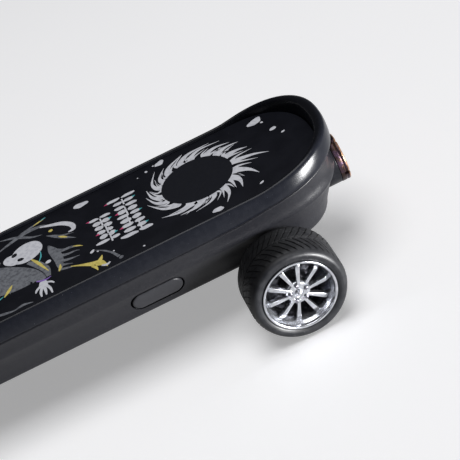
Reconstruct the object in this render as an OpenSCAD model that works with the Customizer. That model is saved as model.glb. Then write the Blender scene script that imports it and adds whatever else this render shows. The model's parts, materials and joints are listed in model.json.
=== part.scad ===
// Pocket battery in the shape of a skateboard.
// +X runs along the deck to the end that holds the threaded connector, +Z is up.
// The origin is on the ground, at the middle of the whole device.

/* [Deck] */
// Length of the deck from tip to tip
deck_l = 122; // [118:1:126]
// Width of the deck at its widest line, just above the seam
deck_w = 32.8; // [32:0.2:34]
// Width of the printed panel let into the deck
panel_w = 28.5; // [27.5:0.1:28.7]
// Thickness of the printed panel
panel_t = 0.3; // [0.2:0.05:0.4]
// How steeply the rim climbs towards each tip
kick_slope = 0.173; // [0.1:0.001:0.2]
// How steeply the seam climbs towards each tip
seam_slope = 0.11; // [0.05:0.01:0.12]

/* [Body] */
// Height of the printed panel over the ground
panel_z = 26.8; // [26.6:0.1:27.2]
// Depth of the body below the printed panel
body_d = 14.2; // [14:0.1:14.4]
// Wall thickness of the floor of the lower shell
floor_t = 1.3; // [1.1:0.1:1.4]

/* [Wheels] */
// Outside diameter of a tyre
wheel_d = 20; // [19.6:0.1:20.2]
// Width of a tyre
wheel_w = 11.2; // [10.8:0.1:11.3]
// Width over the outer faces of the two wheels of an axle
track_w = 54; // [53.8:0.2:56]
// Distance between the two axles
wheelbase = 81.4; // [80:0.2:84]
// Number of spoke pairs in a rim
spoke_pairs = 5; // [4:1:6]

/* [Button] */
// Length of the power button
button_l = 10.8; // [10:0.1:11.4]
// Height of the power button
button_h = 4.0; // [3.6:0.1:4.2]
// Travel of the power button
button_travel = 0.45; // [0.3:0.05:0.5]

/* [Connector] */
// Radius of the threaded bore, at the crests of an M7 x 0.5 thread
bore_r = 3.25; // [3.2:0.01:3.3]
// Depth of the threaded bore
bore_l = 4.8; // [4.4:0.1:5]
// Radius of the collar round the bore
collar_r = 4.95; // [4.9:0.05:5]
// Depth of the connector's axis below the printed panel
connector_drop = 9.2; // [9:0.1:9.3]

/* [Hidden] */
$fn = 64;

// the collar stands this far out past the deck's tip, so the deck's middle
// lies half as far towards the nose
collar_out = 0.6;
deck_x = -collar_out / 2;
tip = deck_l / 2;
// the sides run straight as far as this, and the ends are rounded past it
straight = tip - 16.5;
// roundness of the ends: 2 is an ellipse, more is squarer
end_power = 2.35;
end_steps = 26;

// places along the deck, from its middle
axle_u = wheelbase / 2;
button_u = 16.3;
cell_from = -46;
cell_to = 3;
board_from = 6.5;
board_to = 30;
collar_u = tip + collar_out;
collar_l = 1.9;
sleeve_from = 54.6;
sleeve_back = 1.0;
barrel_from = 51.5;

// heights, from the printed panel downwards
seam_drop = 3.2;
crease_drop = 7.2;
seam_gap = 0.15;
roof_drop = 1.7;
recess_drop = 0.45;
adhesive_t = 0.1;
floor_z = floor_t - body_d;

axle_z = wheel_d / 2;
axle_r = 1.0;
running_gap = 0.04;
wheel_in = track_w / 2 - wheel_w;
hanger_end = wheel_in - 0.8;
hub_in = wheel_in - 0.4;

lower_flank_tilt = 19.5;
button_drop = 10.2;
button_face = 14.45;
slot_gap = 0.35;

// a smooth ramp that leaves zero near s = 0 and climbs one for one after it
function ramp(s, blend) = (s + sqrt(s * s + blend * blend)) / 2;
function kick(x) = kick_slope * ramp(abs(x) - straight + 1.9, 1.2);
function seam_rise(x) = seam_slope * ramp(abs(x) - straight + 8.3, 1.5);

// the deck's outline: straight sides and rounded ends, half w wide, e from
// the middle to each tip, as points in the order of the clock run backwards
function signed_power(v, p) = sign(v) * pow(abs(v), p);
function end_points(w, e, side) = [
    for (i = [0 : end_steps])
        let (a = -90 + 180 * i / end_steps)
        [side * (straight + (e - straight) * signed_power(cos(a), 2 / end_power)),
            side * w * signed_power(sin(a), 2 / end_power)]];
// points along a straight side, so that the seam can start to climb there
side_u = [42, 38, 31, -31, -38, -42];
function side_points(w, side) = [for (u = side_u) [side * u, side * w]];
function outline(w, e) = concat(
    end_points(w, e, 1), side_points(w, 1), end_points(w, e, -1), side_points(w, -1));

// a ring of the body: its half width, its half length, its height over the
// panel, and how much of the kick and of the seam's rise it follows
function ring(w, e, z, k = 0, s = 0) = [
    for (p = outline(w, e))
        [p[0], p[1], z + k * kick(p[0]) + s * seam_rise(p[0])]];

// a closed solid through a stack of rings, the first one its underside; both
// end rings are level, and a fan of triangles from the middle closes each
module ring_stack(rings) {
    n = len(rings[0]);
    m = len(rings);
    low = n * m;
    high = low + 1;
    top = n * (m - 1);
    skin = [for (j = [0 : m - 2], i = [0 : n - 1])
        let (a = j * n + i, b = j * n + (i + 1) % n)
        each [[a, a + n, b + n], [a, b + n, b]]];
    caps = [for (i = [0 : n - 1])
        let (k = (i + 1) % n)
        each [[low, i, k], [high, top + k, top + i]]];
    polyhedron(
        points = concat([for (r = rings) each r], [[0, 0, rings[0][0][2]], [0, 0, rings[m - 1][0][2]]]),
        faces = concat(skin, caps));
}

// a round bar along a list of points, for leads and the coil spring
function unit(v) = v / norm(v);
module bar_along(path, r, sides, up = [0.31, 0.17, 1]) {
    last = len(path) - 1;
    rings = [for (i = [0 : last])
        let (t = unit(path[min(i + 1, last)] - path[max(i - 1, 0)]),
            a = unit(cross(t, up)), b = cross(t, a))
        [for (k = [0 : sides - 1])
            path[i] + r * (cos(360 * k / sides) * a + sin(360 * k / sides) * b)]];
    skin = [for (j = [0 : last - 1], i = [0 : sides - 1])
        let (a = j * sides + i, b = j * sides + (i + 1) % sides)
        each [[a, b + sides, a + sides], [a, b, b + sides]]];
    polyhedron(
        points = [for (g = rings) each g],
        faces = concat([[for (i = [sides - 1 : -1 : 0]) i]], skin,
            [[for (i = [0 : sides - 1]) last * sides + i]]));
}

// puts a piece that is drawn from the deck's middle and the panel's height
module on_deck(u = 0, y = 0, z = 0) {
    translate([deck_x + u, y, panel_z + z]) children();
}

module block(l, w, h) {
    translate([-l / 2, -w / 2, 0]) cube([l, w, h]);
}

// a bar along Y, pill-shaped in the X-Z plane, from y0 to y1
module pill(l, h, y0, y1) {
    translate([0, y1, 0]) rotate([90, 0, 0]) linear_extrude(y1 - y0) union() {
        square([l - h, h], center = true);
        for (side = [-1, 1]) translate([side * (l - h) / 2, 0]) circle(h / 2);
    }
}

module bar_y(r, y0, y1) {
    translate([0, y0, 0]) rotate([-90, 0, 0]) cylinder(h = y1 - y0, r = r);
}

module bar_x(r, x0, x1) {
    translate([x0, 0, 0]) rotate([0, 90, 0]) cylinder(h = x1 - x0, r = r);
}

boss_u = 33;
boss_y = 9.98;
boss_r = 1.35;
module at_bosses() {
    for (sx = [-1, 1], sy = [-1, 1]) on_deck(sx * boss_u, sy * boss_y) children();
}

// ---- shells ----

// the tray: a flat floor for the panel, a rim that climbs at both tips, a
// satin band that slopes out to the seam, and a lip that locates the tray
module deck_shell() {
    half = deck_w / 2;
    color([0.09, 0.09, 0.10]) difference() {
        union() {
            on_deck() ring_stack([
                ring(half - 2.5, tip - 2.5, -roof_drop),
                ring(half - 2.5, tip - 2.5, -seam_drop - 0.8, s = 1),
                ring(half - 1.75, tip - 1.75, -seam_drop - 0.8, s = 1),
                ring(half - 1.75, tip - 1.75, -seam_drop, s = 1),
                ring(half - 0.3, tip - 0.3, -seam_drop, s = 1),
                ring(half, tip - 0.05, -seam_drop + 0.35, s = 1),
                ring(half - 0.1, tip, -seam_drop + 0.8, k = 0.15, s = 0.9),
                ring(half - 0.3, tip, -1.6, k = 0.6, s = 0.5),
                ring(half - 0.65, tip - 0.15, -0.2, k = 0.93, s = 0.1),
                ring(half - 1.0, tip - 0.6, 0.35, k = 1),
                ring(half - 1.3, tip - 1.2, 0.6, k = 1),
                ring(half - 1.6, tip - 1.9, 0.6, k = 1),
                ring(half - 1.8, tip - 2.5, 0.4, k = 1),
                ring(half - 2.05, tip - 2.8, -recess_drop)]);
            at_bosses() translate([0, 0, floor_z + 0.1]) cylinder(h = -floor_z - 1.0, r = boss_r);
        }
        at_bosses() translate([0, 0, floor_z]) cylinder(h = 6, r = 0.7, $fn = 32);
    }
}

module panel_plate(top, t, inset) {
    half = panel_w / 2 - inset;
    on_deck(z = top - t) linear_extrude(t) polygon(outline(half, tip - 2.95 - inset));
}

module art_panel() {
    color([0.14, 0.14, 0.16]) panel_plate(0, panel_t, 0);
}

module panel_adhesive() {
    color([0.75, 0.75, 0.72]) panel_plate(-panel_t, adhesive_t, 0.4);
}

// the cup under the tray: an upper flank, a crease, a lower flank that leans
// in, and ends that turn under
module lower_shell() {
    half = deck_w / 2;
    color([0.06, 0.06, 0.07]) difference() {
        union() {
            on_deck() ring_stack([
                ring(half - 4.8, tip - 7.9, -body_d),
                ring(half - 3.9, tip - 6.6, -body_d + 0.35),
                ring(half - 3.3, tip - 5.6, -body_d + 1.0),
                ring(half - 2.95, tip - 4.9, -body_d + 1.8),
                ring(half - 1.9, tip - 3.2, -crease_drop - 1.9),
                ring(half - 1.25, tip - 2.3, -crease_drop - 0.4, s = 0.2),
                ring(half - 1.0, tip - 1.9, -crease_drop, s = 0.25),
                ring(half - 0.9, tip - 1.7, -crease_drop + 0.5, s = 0.3),
                ring(half - 0.35, tip - 0.7, -seam_drop - 0.6, s = 1),
                ring(half - 0.45, tip - 0.8, -seam_drop - seam_gap - 0.1, s = 1),
                ring(half - 0.7, tip - 1.05, -seam_drop - seam_gap, s = 1),
                ring(half - 1.65, tip - 1.65, -seam_drop - seam_gap, s = 1),
                ring(half - 1.65, tip - 1.65, -seam_drop - 1.0, s = 1),
                ring(half - 2.35, tip - 3.3, -crease_drop, s = 0.25),
                ring(half - 4.2, tip - 6.2, -body_d + 2.0),
                ring(half - 5.0, tip - 7.4, floor_z)]);
        }
        on_deck(button_u, 0, -button_drop)
            pill(button_l + 2 * slot_gap, button_h + 2 * slot_gap, -deck_w / 2, -9);
        on_deck(0, 0, -connector_drop) bar_x(collar_r, sleeve_from - 0.05, tip + 2);
        on_deck(-tip, 0, usb_z) rotate([0, 0, 90]) pill(usb_w + 0.3, usb_h + 0.3, -6, 6);
        at_bosses() translate([0, 0, -body_d - 1]) cylinder(h = 5, r = 0.95, $fn = 32);
        at_bosses() translate([0, 0, -body_d - 1]) cylinder(h = 1.7, r = 1.6, $fn = 32);
        for (u = [-axle_u, axle_u], du = [-truck_screw_du, truck_screw_du])
            on_deck(u + du, 0, -body_d - 1) cylinder(h = 5, r = 0.65, $fn = 32);
    }
}

// ---- battery and electronics, inside the shells ----

cell_w = 17;
cell_t = 7.6;
foam_t = 0.8;
cell_z = floor_z + foam_t + 0.02;
module battery_cell() {
    l = cell_to - cell_from;
    color([0.62, 0.66, 0.72]) on_deck((cell_to + cell_from) / 2, 0, cell_z) union() {
        translate([-l / 2, 0, cell_t / 2]) rotate([90, 0, 90]) linear_extrude(l) union() {
            square([cell_w - 2.4, cell_t], center = true);
            square([cell_w, cell_t - 2.4], center = true);
            for (sy = [-1, 1], sz = [-1, 1])
                translate([sy * (cell_w / 2 - 1.2), sz * (cell_t / 2 - 1.2)]) circle(1.2);
        }
    }
}

module cell_guard_board() {
    color([0.10, 0.32, 0.18]) on_deck(cell_to + 0.5, 0, cell_z + 1.2) block(0.8, cell_w - 2, 4.8);
}

module cell_foam_bottom() {
    color([0.25, 0.25, 0.27]) on_deck((cell_to + cell_from) / 2, 0, floor_z + 0.01)
        block(40, cell_w - 3, foam_t);
}

module cell_foam_top() {
    z = cell_z + cell_t + 0.01;
    color([0.25, 0.25, 0.27]) on_deck((cell_to + cell_from) / 2, 0, z)
        block(40, cell_w - 3, -roof_drop - z - 0.05);
}

board_t = 1.0;
board_w = 18.6;
board_z = floor_z + 0.3;
module control_board() {
    l = board_to - board_from;
    color([0.10, 0.32, 0.18]) on_deck((board_to + board_from) / 2, 0, board_z) difference() {
        union() {
            block(l, board_w, board_t);
            for (sx = [-1, 1], sy = [-1, 1])
                translate([sx * (l / 2 - 2), sy * 7, -0.28]) cylinder(h = 0.3, r = 1, $fn = 32);
        }
        for (sx = [-1, 1], sy = [-1, 1])
            translate([sx * (l / 2 - 2), sy * 7, 0.1]) cylinder(h = 2, r = 0.5, $fn = 32);
    }
}

// chips on the board: [from the middle of the board, y, length, width, height]
chips = [[-6, 3, 4.4, 4.4, 1.0], [0.5, 5, 3, 3, 0.9], [6.5, 2, 5, 4, 1.3], [-7, -3.2, 2.2, 1.4, 0.8],
    [8, -4, 2.2, 1.4, 0.8]];
module control_chips() {
    color([0.08, 0.08, 0.09]) for (c = chips)
        on_deck((board_to + board_from) / 2 + c[0], c[1], board_z + board_t + 0.01)
            block(c[2], c[3], c[4]);
}

switch_y = -9.1;
plunger_in = 0.9;
module switch_body() {
    z = board_z + board_t + 0.01;
    color([0.70, 0.71, 0.73]) on_deck(button_u, 0, 0) difference() {
        translate([0, switch_y + 1.75, z]) block(6, 3.5, 2.6);
        translate([0, 0, -button_drop]) pill(3.1, 1.5, switch_y - 1, switch_y + plunger_in + button_travel + 0.25);
    }
}

module switch_plunger() {
    color([0.15, 0.15, 0.16]) on_deck(button_u, 0, -button_drop)
        pill(2.8, 1.2, flange_y + flange_t + 0.01, switch_y + plunger_in);
}

// the button: a pill that stands a little proud of the leaning flank, with a
// wider flange inside the shell that keeps it in
flange_y = -11.45;
flange_t = 0.7;
module power_button() {
    color([0.08, 0.08, 0.09]) on_deck(button_u, 0, -button_drop) union() {
        difference() {
            pill(button_l, button_h, -deck_w / 2, flange_y + 0.05);
            rotate([lower_flank_tilt, 0, 0])
                translate([-10, -button_face * cos(lower_flank_tilt) - 10, -10])
                    cube([20, 10, 20]);
        }
        pill(button_l + 2.0, button_h + 0.5, flange_y, flange_y + flange_t);
    }
}

usb_w = 9.0;
usb_h = 3.2;
usb_z = -6.6;
usb_l = 7.3;
usb_bore_l = 6.1;
tongue_in = 0.9;
usb_from = -tip + 2.6;
module usb_shell_shape(w, h) {
    square([w - h, h], center = true);
    for (side = [-1, 1]) translate([side * (w - h) / 2, 0]) circle(h / 2);
}
module usb_socket() {
    color([0.72, 0.73, 0.75]) on_deck(usb_from, 0, usb_z) rotate([90, 0, 90]) difference() {
        linear_extrude(usb_l) usb_shell_shape(usb_w, usb_h);
        translate([0, 0, -1]) linear_extrude(usb_bore_l + 1) usb_shell_shape(usb_w - 0.6, usb_h - 0.6);
    }
}

module usb_tongue() {
    color([0.10, 0.10, 0.11]) on_deck(usb_from + tongue_in, 0, usb_z - 0.35)
        translate([0, -3.3, 0]) cube([usb_bore_l - tongue_in - 0.02, 6.6, 0.7]);
}

charge_from = usb_from + 3.6;
charge_l = 8.1;
charge_z = usb_z - usb_h / 2 - board_t - 0.01;
module charge_board() {
    color([0.10, 0.32, 0.18]) on_deck(charge_from + charge_l / 2, 0, charge_z) block(charge_l, 13, board_t);
}

module charge_chips() {
    color([0.08, 0.08, 0.09]) on_deck(charge_from + charge_l - 1.6, 0, charge_z + board_t + 0.01)
        for (y = [-3.6, 0, 3.6]) translate([0, y, 0]) block(1.9, 2.4, 0.9);
}

// ---- threaded connector ----

// a cup round the barrel, let into the end of the lower shell
module connector_sleeve() {
    color([0.07, 0.07, 0.08]) on_deck(0, 0, -connector_drop) difference() {
        bar_x(collar_r - 0.05, sleeve_from, collar_u - collar_l - 0.03);
        bar_x(barrel_r + 0.05, sleeve_from + sleeve_back, collar_u);
        bar_x(neck_r + 0.05, sleeve_from - 1, collar_u);
    }
}

// the thread is drawn as a plain bore with a lead-in; four slots let air past
barrel_r = 4.15;
neck_r = 3.1;
insulator_r = 2.55;
slot_w = 0.9;
slot_d = 1.2;
slot_turn = 17;
module connector_barrel() {
    color([0.33, 0.22, 0.15]) on_deck(0, 0, -connector_drop) difference() {
        union() {
            bar_x(collar_r, collar_u - collar_l, collar_u);
            bar_x(barrel_r, sleeve_from + sleeve_back + 0.05, collar_u - collar_l + 0.1);
            bar_x(neck_r, barrel_from, sleeve_from + sleeve_back + 0.1);
        }
        bar_x(bore_r, collar_u - bore_l, collar_u + 1);
        bar_x(insulator_r + 0.05, barrel_from - 1, collar_u);
        for (a = [0 : 90 : 270]) rotate([slot_turn + a, 0, 0])
            translate([collar_u - slot_d, -slot_w / 2, 2]) cube([slot_d + 1, slot_w, 4]);
    }
}

// the sprung contact: a shank with a head that the insulator's front wall stops
pin_travel = 0.5;
pin_r = 1.0;
pin_head_r = 1.55;
// pressed right in, the pin ends this far below the insulator's face
pin_sunk = 0.2;
insulator_face = collar_u - bore_l - 0.4;
pin_front = insulator_face + pin_travel - pin_sunk;
pin_from = pin_front - 2.6;
head_l = 1.0;
module connector_insulator() {
    color([0.90, 0.89, 0.85]) on_deck(0, 0, -connector_drop) difference() {
        bar_x(insulator_r, barrel_from + 0.5, insulator_face);
        bar_x(pin_r + 0.05, barrel_from, collar_u);
        bar_x(pin_head_r + 0.05, barrel_from, pin_from + head_l + 0.03);
    }
}

module center_pin() {
    color([0.80, 0.65, 0.30]) on_deck(0, 0, -connector_drop) union() {
        bar_x(pin_r, pin_from, pin_front);
        bar_x(pin_head_r, pin_from, pin_from + head_l);
    }
}

spring_r = 1.25;
spring_wire_r = 0.11;
spring_turns = 3;
terminal_l = 0.6;
module pin_spring() {
    from = barrel_from + terminal_l + spring_wire_r + 0.05;
    to = pin_from - spring_wire_r - 0.02;
    steps = 45;
    color([0.78, 0.78, 0.80]) on_deck(0, 0, -connector_drop)
        bar_along([for (i = [0 : steps])
            let (a = 360 * spring_turns * i / steps)
            [from + (to - from) * i / steps, spring_r * cos(a), spring_r * sin(a)]],
            spring_wire_r, 6, up = [1, 0, 0]);
}

module pin_terminal() {
    color([0.80, 0.65, 0.30]) on_deck(0, 0, -connector_drop) union() {
        bar_x(pin_head_r, barrel_from, barrel_from + terminal_l);
        bar_x(0.5, barrel_from - 1.5, barrel_from + 0.1);
    }
}

// ---- leads, as round bars along hand-laid routes ----

lead_r = 0.45;
function smooth_route(p, steps) = [
    for (i = [0 : len(p) - 2], k = [0 : steps - (i < len(p) - 2 ? 1 : 0)])
        let (t = k / steps, a = p[max(i - 1, 0)], b = p[i], c = p[i + 1], d = p[min(i + 2, len(p) - 1)])
        0.5 * (2 * b + (c - a) * t + (2 * a - 5 * b + 4 * c - d) * t * t
            + (3 * b - a - 3 * c + d) * t * t * t)];
module lead(route) {
    bar_along(smooth_route(route, 4), lead_r, 8);
}

battery_route = [[4, 3, -6.5], [5.6, 3, -6.4], [7.6, 3, -7.6], [8.6, 3, -9.4], [9.0, 3, -10.3]];
module battery_leads() {
    color([0.70, 0.10, 0.08]) on_deck() for (dy = [0, -6])
        lead([for (p = battery_route) p + [0, dy + 3.6, 0]]);
}

charge_route = [[-48.4, 5.6, -7.7], [-48.2, 6.6, -5.8], [-46.8, 7.4, -3.9], [-44, 7.7, -3.2], [-30, 7.7, -3.2],
    [-6, 7.7, -3.2], [3, 7.7, -3.4], [6.4, 7.8, -5.8], [8.6, 7.8, -9], [9.4, 7.8, -11.1]];
module charge_leads() {
    color([0.70, 0.10, 0.08]) on_deck() for (side = [-1, 1])
        lead([for (p = charge_route) [p[0], side * p[1], p[2]]]);
}

connector_route = [[28.4, 0, -11.2], [31, 0, -9.4], [36, 0, -8.2], [43, 0, -8.4], [48, 0, -9.2], [49.9, 0, -9.2]];
module connector_leads() {
    color([0.12, 0.12, 0.13]) on_deck() {
        lead(connector_route);
        lead([for (p = connector_route) [p[0] + 1.0, 4.0, p[2]]]);
    }
}

// ---- trucks, axles and screws ----

truck_screw_du = 5.6;
plate_t = 1.5;
hanger_r = 2.3;
module truck(u) {
    top = panel_z - body_d - 0.02;
    color([0.12, 0.12, 0.13]) translate([deck_x + u, 0, 0]) difference() {
        union() {
            translate([0, 0, top - plate_t]) block(15, 15, plate_t);
            translate([0, 0, axle_z]) bar_y(hanger_r, -hanger_end, hanger_end);
            translate([0, 0, axle_z]) block(4.2, 13, top - axle_z - 0.5);
        }
        translate([0, 0, axle_z]) bar_y(axle_r + 0.005, -track_w, track_w);
        for (du = [-truck_screw_du, truck_screw_du])
            translate([du, 0, axle_z]) cylinder(h = 5, r = 0.85, $fn = 32);
    }
}
module truck_nose() {
    truck(-axle_u);
}
module truck_tail() {
    truck(axle_u);
}

clip_y = hub_in + 0.35;
clip_t = 0.5;
module axle(u) {
    end = track_w / 2 - 2.2;
    color([0.75, 0.76, 0.78]) translate([deck_x + u, 0, axle_z]) difference() {
        bar_y(axle_r, -end, end);
        for (side = [-1, 1]) translate([0, side * (clip_y + clip_t / 2), 0]) rotate([90, 0, 0])
            rotate_extrude() translate([0.7, -clip_t / 2 - 0.05]) square([1, clip_t + 0.1]);
    }
}
module axle_nose() {
    axle(-axle_u);
}
module axle_tail() {
    axle(axle_u);
}

// a small round-headed screw, its head down
module screw(shank_r, head_r, head_h, l) {
    difference() {
        union() {
            cylinder(h = head_h, r = head_r, $fn = 32);
            cylinder(h = head_h + l, r = shank_r, $fn = 32);
        }
        for (a = [0, 90]) rotate([0, 0, a]) translate([-head_r * 0.6, -0.14, -1])
            cube([head_r * 1.2, 0.28, 1 + head_h * 0.55]);
    }
}

module truck_screws() {
    head_h = 0.7;
    z = -body_d - plate_t - 0.03 - head_h;
    color([0.55, 0.56, 0.58]) for (u = [-axle_u, axle_u], du = [-truck_screw_du, truck_screw_du])
        on_deck(u + du, 0, z) screw(0.62, 1.3, head_h, 2.7);
}

module casing_screws() {
    head_h = 0.6;
    color([0.20, 0.20, 0.21]) at_bosses() translate([0, 0, -body_d + 0.08])
        screw(0.68, 1.45, head_h, 5);
}

// ---- wheels ----

lip_r = 7.55;
seat_r = 7.2;
hub_face = track_w / 2 - 1.2;
lug_circle_r = 1.75;

// stands one wheel's piece at its corner: sx is 1 at the tail and -1 at the
// nose, sy is 1 on the right and -1 on the left; the piece is drawn about +Z,
// which becomes the outward direction of the axle
module at_wheel(sx, sy) {
    translate([deck_x + sx * axle_u, 0, axle_z]) rotate([-sy * 90, 0, 0]) children();
}

// profile points are [radius, distance out from the device's middle]
module tyre(sx, sy) {
    y0 = wheel_in;
    y1 = track_w / 2;
    r = wheel_d / 2;
    s = 0.05;
    color([0.10, 0.10, 0.11]) at_wheel(sx, sy) rotate_extrude($fn = 96) polygon([
        [seat_r + s, y0 + 0.75], [lip_r + s, y0 + 0.7], [lip_r + 0.2, y0 + 0.3], [r - 1.6, y0 + 0.0],
        [r - 0.85, y0 + 0.25], [r - 0.28, y0 + 0.65], [r - 0.05, y0 + 1.05],
        [r, y0 + 1.4], [r, y1 - 1.4],
        [r - 0.05, y1 - 1.05], [r - 0.28, y1 - 0.65], [r - 0.85, y1 - 0.25], [r - 1.6, y1 - 0.0],
        [lip_r + 0.2, y1 - 0.3], [lip_r + s, y1 - 0.7], [seat_r + s, y1 - 0.75]]);
}

// the rim: a barrel with two lips, a hub, and pairs of spokes that meet a
// dished front
spoke_w = 0.95;
spoke_r0 = 1.6;
spoke_split = 17;
module rim(sx, sy) {
    y0 = wheel_in + 0.15;
    y1 = track_w / 2 - 0.1;
    color([0.80, 0.81, 0.83]) at_wheel(sx, sy) difference() {
        union() {
            rotate_extrude($fn = 96) polygon([
                [seat_r, y0 + 0.5], [lip_r, y0 + 0.35], [lip_r, y0], [lip_r - 0.5, y0],
                [6.3, y0 + 1.2], [6.3, y1 - 2.2], [6.7, y1 - 1.1], [lip_r - 0.5, y1], [lip_r, y1],
                [lip_r, y1 - 0.35], [seat_r, y1 - 0.5]]);
            translate([0, 0, hub_in]) cylinder(h = hub_face - hub_in, r = 2.6);
            for (i = [0 : spoke_pairs - 1], side = [-1, 1])
                rotate([0, 0, 90 + 360 * i / spoke_pairs + side * spoke_split])
                    translate([0, -spoke_w / 2, hub_face - 1.6]) cube([6.6, spoke_w, 1.4]);
        }
        translate([0, 0, hub_in - 1]) cylinder(h = hub_face - hub_in + 1 - 1.0, r = axle_r + running_gap);
        translate([0, 0, hub_in - 1]) cylinder(h = 1 + clip_y - hub_in + clip_t, r = 1.75);
        translate([0, 0, hub_face - 0.7]) cylinder(h = 2, r = 0.42, $fn = 32);
        for (i = [0 : spoke_pairs - 1]) rotate([0, 0, 90 + 360 * i / spoke_pairs])
            translate([lug_circle_r, 0, hub_face - 0.45]) cylinder(h = 2, r = 0.3, $fn = 32);
    }
}

module lug_nuts(sx, sy) {
    color([0.62, 0.63, 0.66]) at_wheel(sx, sy)
        for (i = [0 : spoke_pairs - 1]) rotate([0, 0, 90 + 360 * i / spoke_pairs])
            translate([lug_circle_r, 0, 0]) union() {
                translate([0, 0, hub_face - 0.4]) cylinder(h = 0.5, r = 0.28, $fn = 32);
                translate([0, 0, hub_face + 0.01]) cylinder(h = 0.5, r = 0.45, $fn = 6);
            }
}

module hub_cap(sx, sy) {
    color([0.80, 0.81, 0.83]) at_wheel(sx, sy) union() {
        translate([0, 0, hub_face - 0.65]) cylinder(h = 0.8, r = 0.4, $fn = 32);
        rotate_extrude($fn = 48) polygon([[0, hub_face + 0.01], [0.85, hub_face + 0.01],
            [0.85, hub_face + 0.3], [0.7, hub_face + 0.52], [0.4, hub_face + 0.66], [0, hub_face + 0.7]]);
    }
}

module axle_clip(sx, sy) {
    color([0.55, 0.56, 0.58]) at_wheel(sx, sy) translate([0, 0, clip_y]) difference() {
        cylinder(h = clip_t - 0.02, r = 1.73);
        translate([0, 0, -1]) cylinder(h = 3, r = 0.76);
    }
}

deck_shell();
art_panel();
panel_adhesive();
lower_shell();
battery_cell();
cell_guard_board();
cell_foam_top();
cell_foam_bottom();
control_board();
control_chips();
switch_body();
switch_plunger();
power_button();
charge_board();
charge_chips();
usb_socket();
usb_tongue();
connector_sleeve();
connector_barrel();
connector_insulator();
center_pin();
pin_spring();
pin_terminal();
battery_leads();
charge_leads();
connector_leads();
truck_nose();
truck_tail();
axle_nose();
axle_tail();
truck_screws();
casing_screws();
tyre(-1, -1);  // tyre_nose_left
tyre(-1, 1);  // tyre_nose_right
tyre(1, -1);  // tyre_tail_left
tyre(1, 1);  // tyre_tail_right
rim(-1, -1);  // rim_nose_left
rim(-1, 1);  // rim_nose_right
rim(1, -1);  // rim_tail_left
rim(1, 1);  // rim_tail_right
lug_nuts(-1, -1);  // lug_nuts_nose_left
lug_nuts(-1, 1);  // lug_nuts_nose_right
lug_nuts(1, -1);  // lug_nuts_tail_left
lug_nuts(1, 1);  // lug_nuts_tail_right
hub_cap(-1, -1);  // hub_cap_nose_left
hub_cap(-1, 1);  // hub_cap_nose_right
hub_cap(1, -1);  // hub_cap_tail_left
hub_cap(1, 1);  // hub_cap_tail_right
axle_clip(-1, -1);  // axle_clip_nose_left
axle_clip(-1, 1);  // axle_clip_nose_right
axle_clip(1, -1);  // axle_clip_tail_left
axle_clip(1, 1);  // axle_clip_tail_right
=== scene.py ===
# %% [markdown]
# # A pocket battery in the shape of a skateboard
# The device is a tray deck with a printed panel, a lower shell with a push
# button in its flank, four small spoked wheels, and a threaded connector at
# the tail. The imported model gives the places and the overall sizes; this
# notebook gives each piece its final shape and finish. Units below are
# millimetres, and MM turns them into Blender's metres.

# %% Load the frame
import json
import math
import random

import bpy
from mathutils import Matrix, Vector

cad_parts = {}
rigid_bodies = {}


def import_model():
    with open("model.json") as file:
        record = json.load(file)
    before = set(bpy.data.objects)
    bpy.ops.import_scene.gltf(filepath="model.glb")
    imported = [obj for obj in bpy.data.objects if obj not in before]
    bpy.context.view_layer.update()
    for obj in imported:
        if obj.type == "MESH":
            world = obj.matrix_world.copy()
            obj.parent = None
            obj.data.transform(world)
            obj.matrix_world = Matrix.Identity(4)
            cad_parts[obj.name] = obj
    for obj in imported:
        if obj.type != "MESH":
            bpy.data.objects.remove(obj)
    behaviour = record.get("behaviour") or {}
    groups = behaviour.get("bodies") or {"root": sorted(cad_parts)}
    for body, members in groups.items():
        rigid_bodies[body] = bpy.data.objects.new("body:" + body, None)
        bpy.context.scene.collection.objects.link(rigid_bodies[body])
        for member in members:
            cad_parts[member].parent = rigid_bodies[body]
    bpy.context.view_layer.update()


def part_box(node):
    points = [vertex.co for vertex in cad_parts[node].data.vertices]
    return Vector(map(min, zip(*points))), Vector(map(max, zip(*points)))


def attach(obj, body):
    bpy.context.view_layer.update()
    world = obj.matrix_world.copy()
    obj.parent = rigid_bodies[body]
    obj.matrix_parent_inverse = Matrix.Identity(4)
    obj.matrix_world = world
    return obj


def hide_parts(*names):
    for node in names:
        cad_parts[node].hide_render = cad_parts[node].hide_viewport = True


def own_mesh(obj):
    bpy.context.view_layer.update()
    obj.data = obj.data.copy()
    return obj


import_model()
MM = 0.001


def mm(*values):
    """A point or a step given in millimetres."""
    return Vector(values) * MM


# %% [markdown]
# ## Camera
# A long lens close to a small thing: the view is 14 degrees wide, some 37
# centimetres away, looking down by 33 degrees. The camera is rolled, so the
# deck climbs to the right. A turn is built from three simple ones: about the
# up axis, then up from the horizon, then about the line of sight.

# %% Camera
AIM = Vector((34.36, -5.74, 16.86)) * MM
DISTANCE = 372.6 * MM
VIEW_WIDTH = 14.0
AZIMUTH, ELEVATION, ROLL = (math.radians(a) for a in (-3.0, 33.2, 24.5))
turn = (
    Matrix.Rotation(AZIMUTH, 3, "Z")
    @ Matrix.Rotation(math.pi / 2 - ELEVATION, 3, "X")
    @ Matrix.Rotation(-ROLL, 3, "Z")
)
bpy.ops.object.camera_add(location=AIM + turn @ Vector((0, 0, DISTANCE)), rotation=turn.to_euler())
camera = bpy.context.object
camera.data.angle = math.radians(VIEW_WIDTH)
camera.data.clip_start = 10 * MM
bpy.context.scene.camera = camera
print("camera stands at", [round(v / MM) for v in camera.location])

# %% [markdown]
# ## Helpers for modelling
# An operator works on whatever is selected, and the loaded nodes are all
# selected, so each piece starts by clearing the selection.

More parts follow.
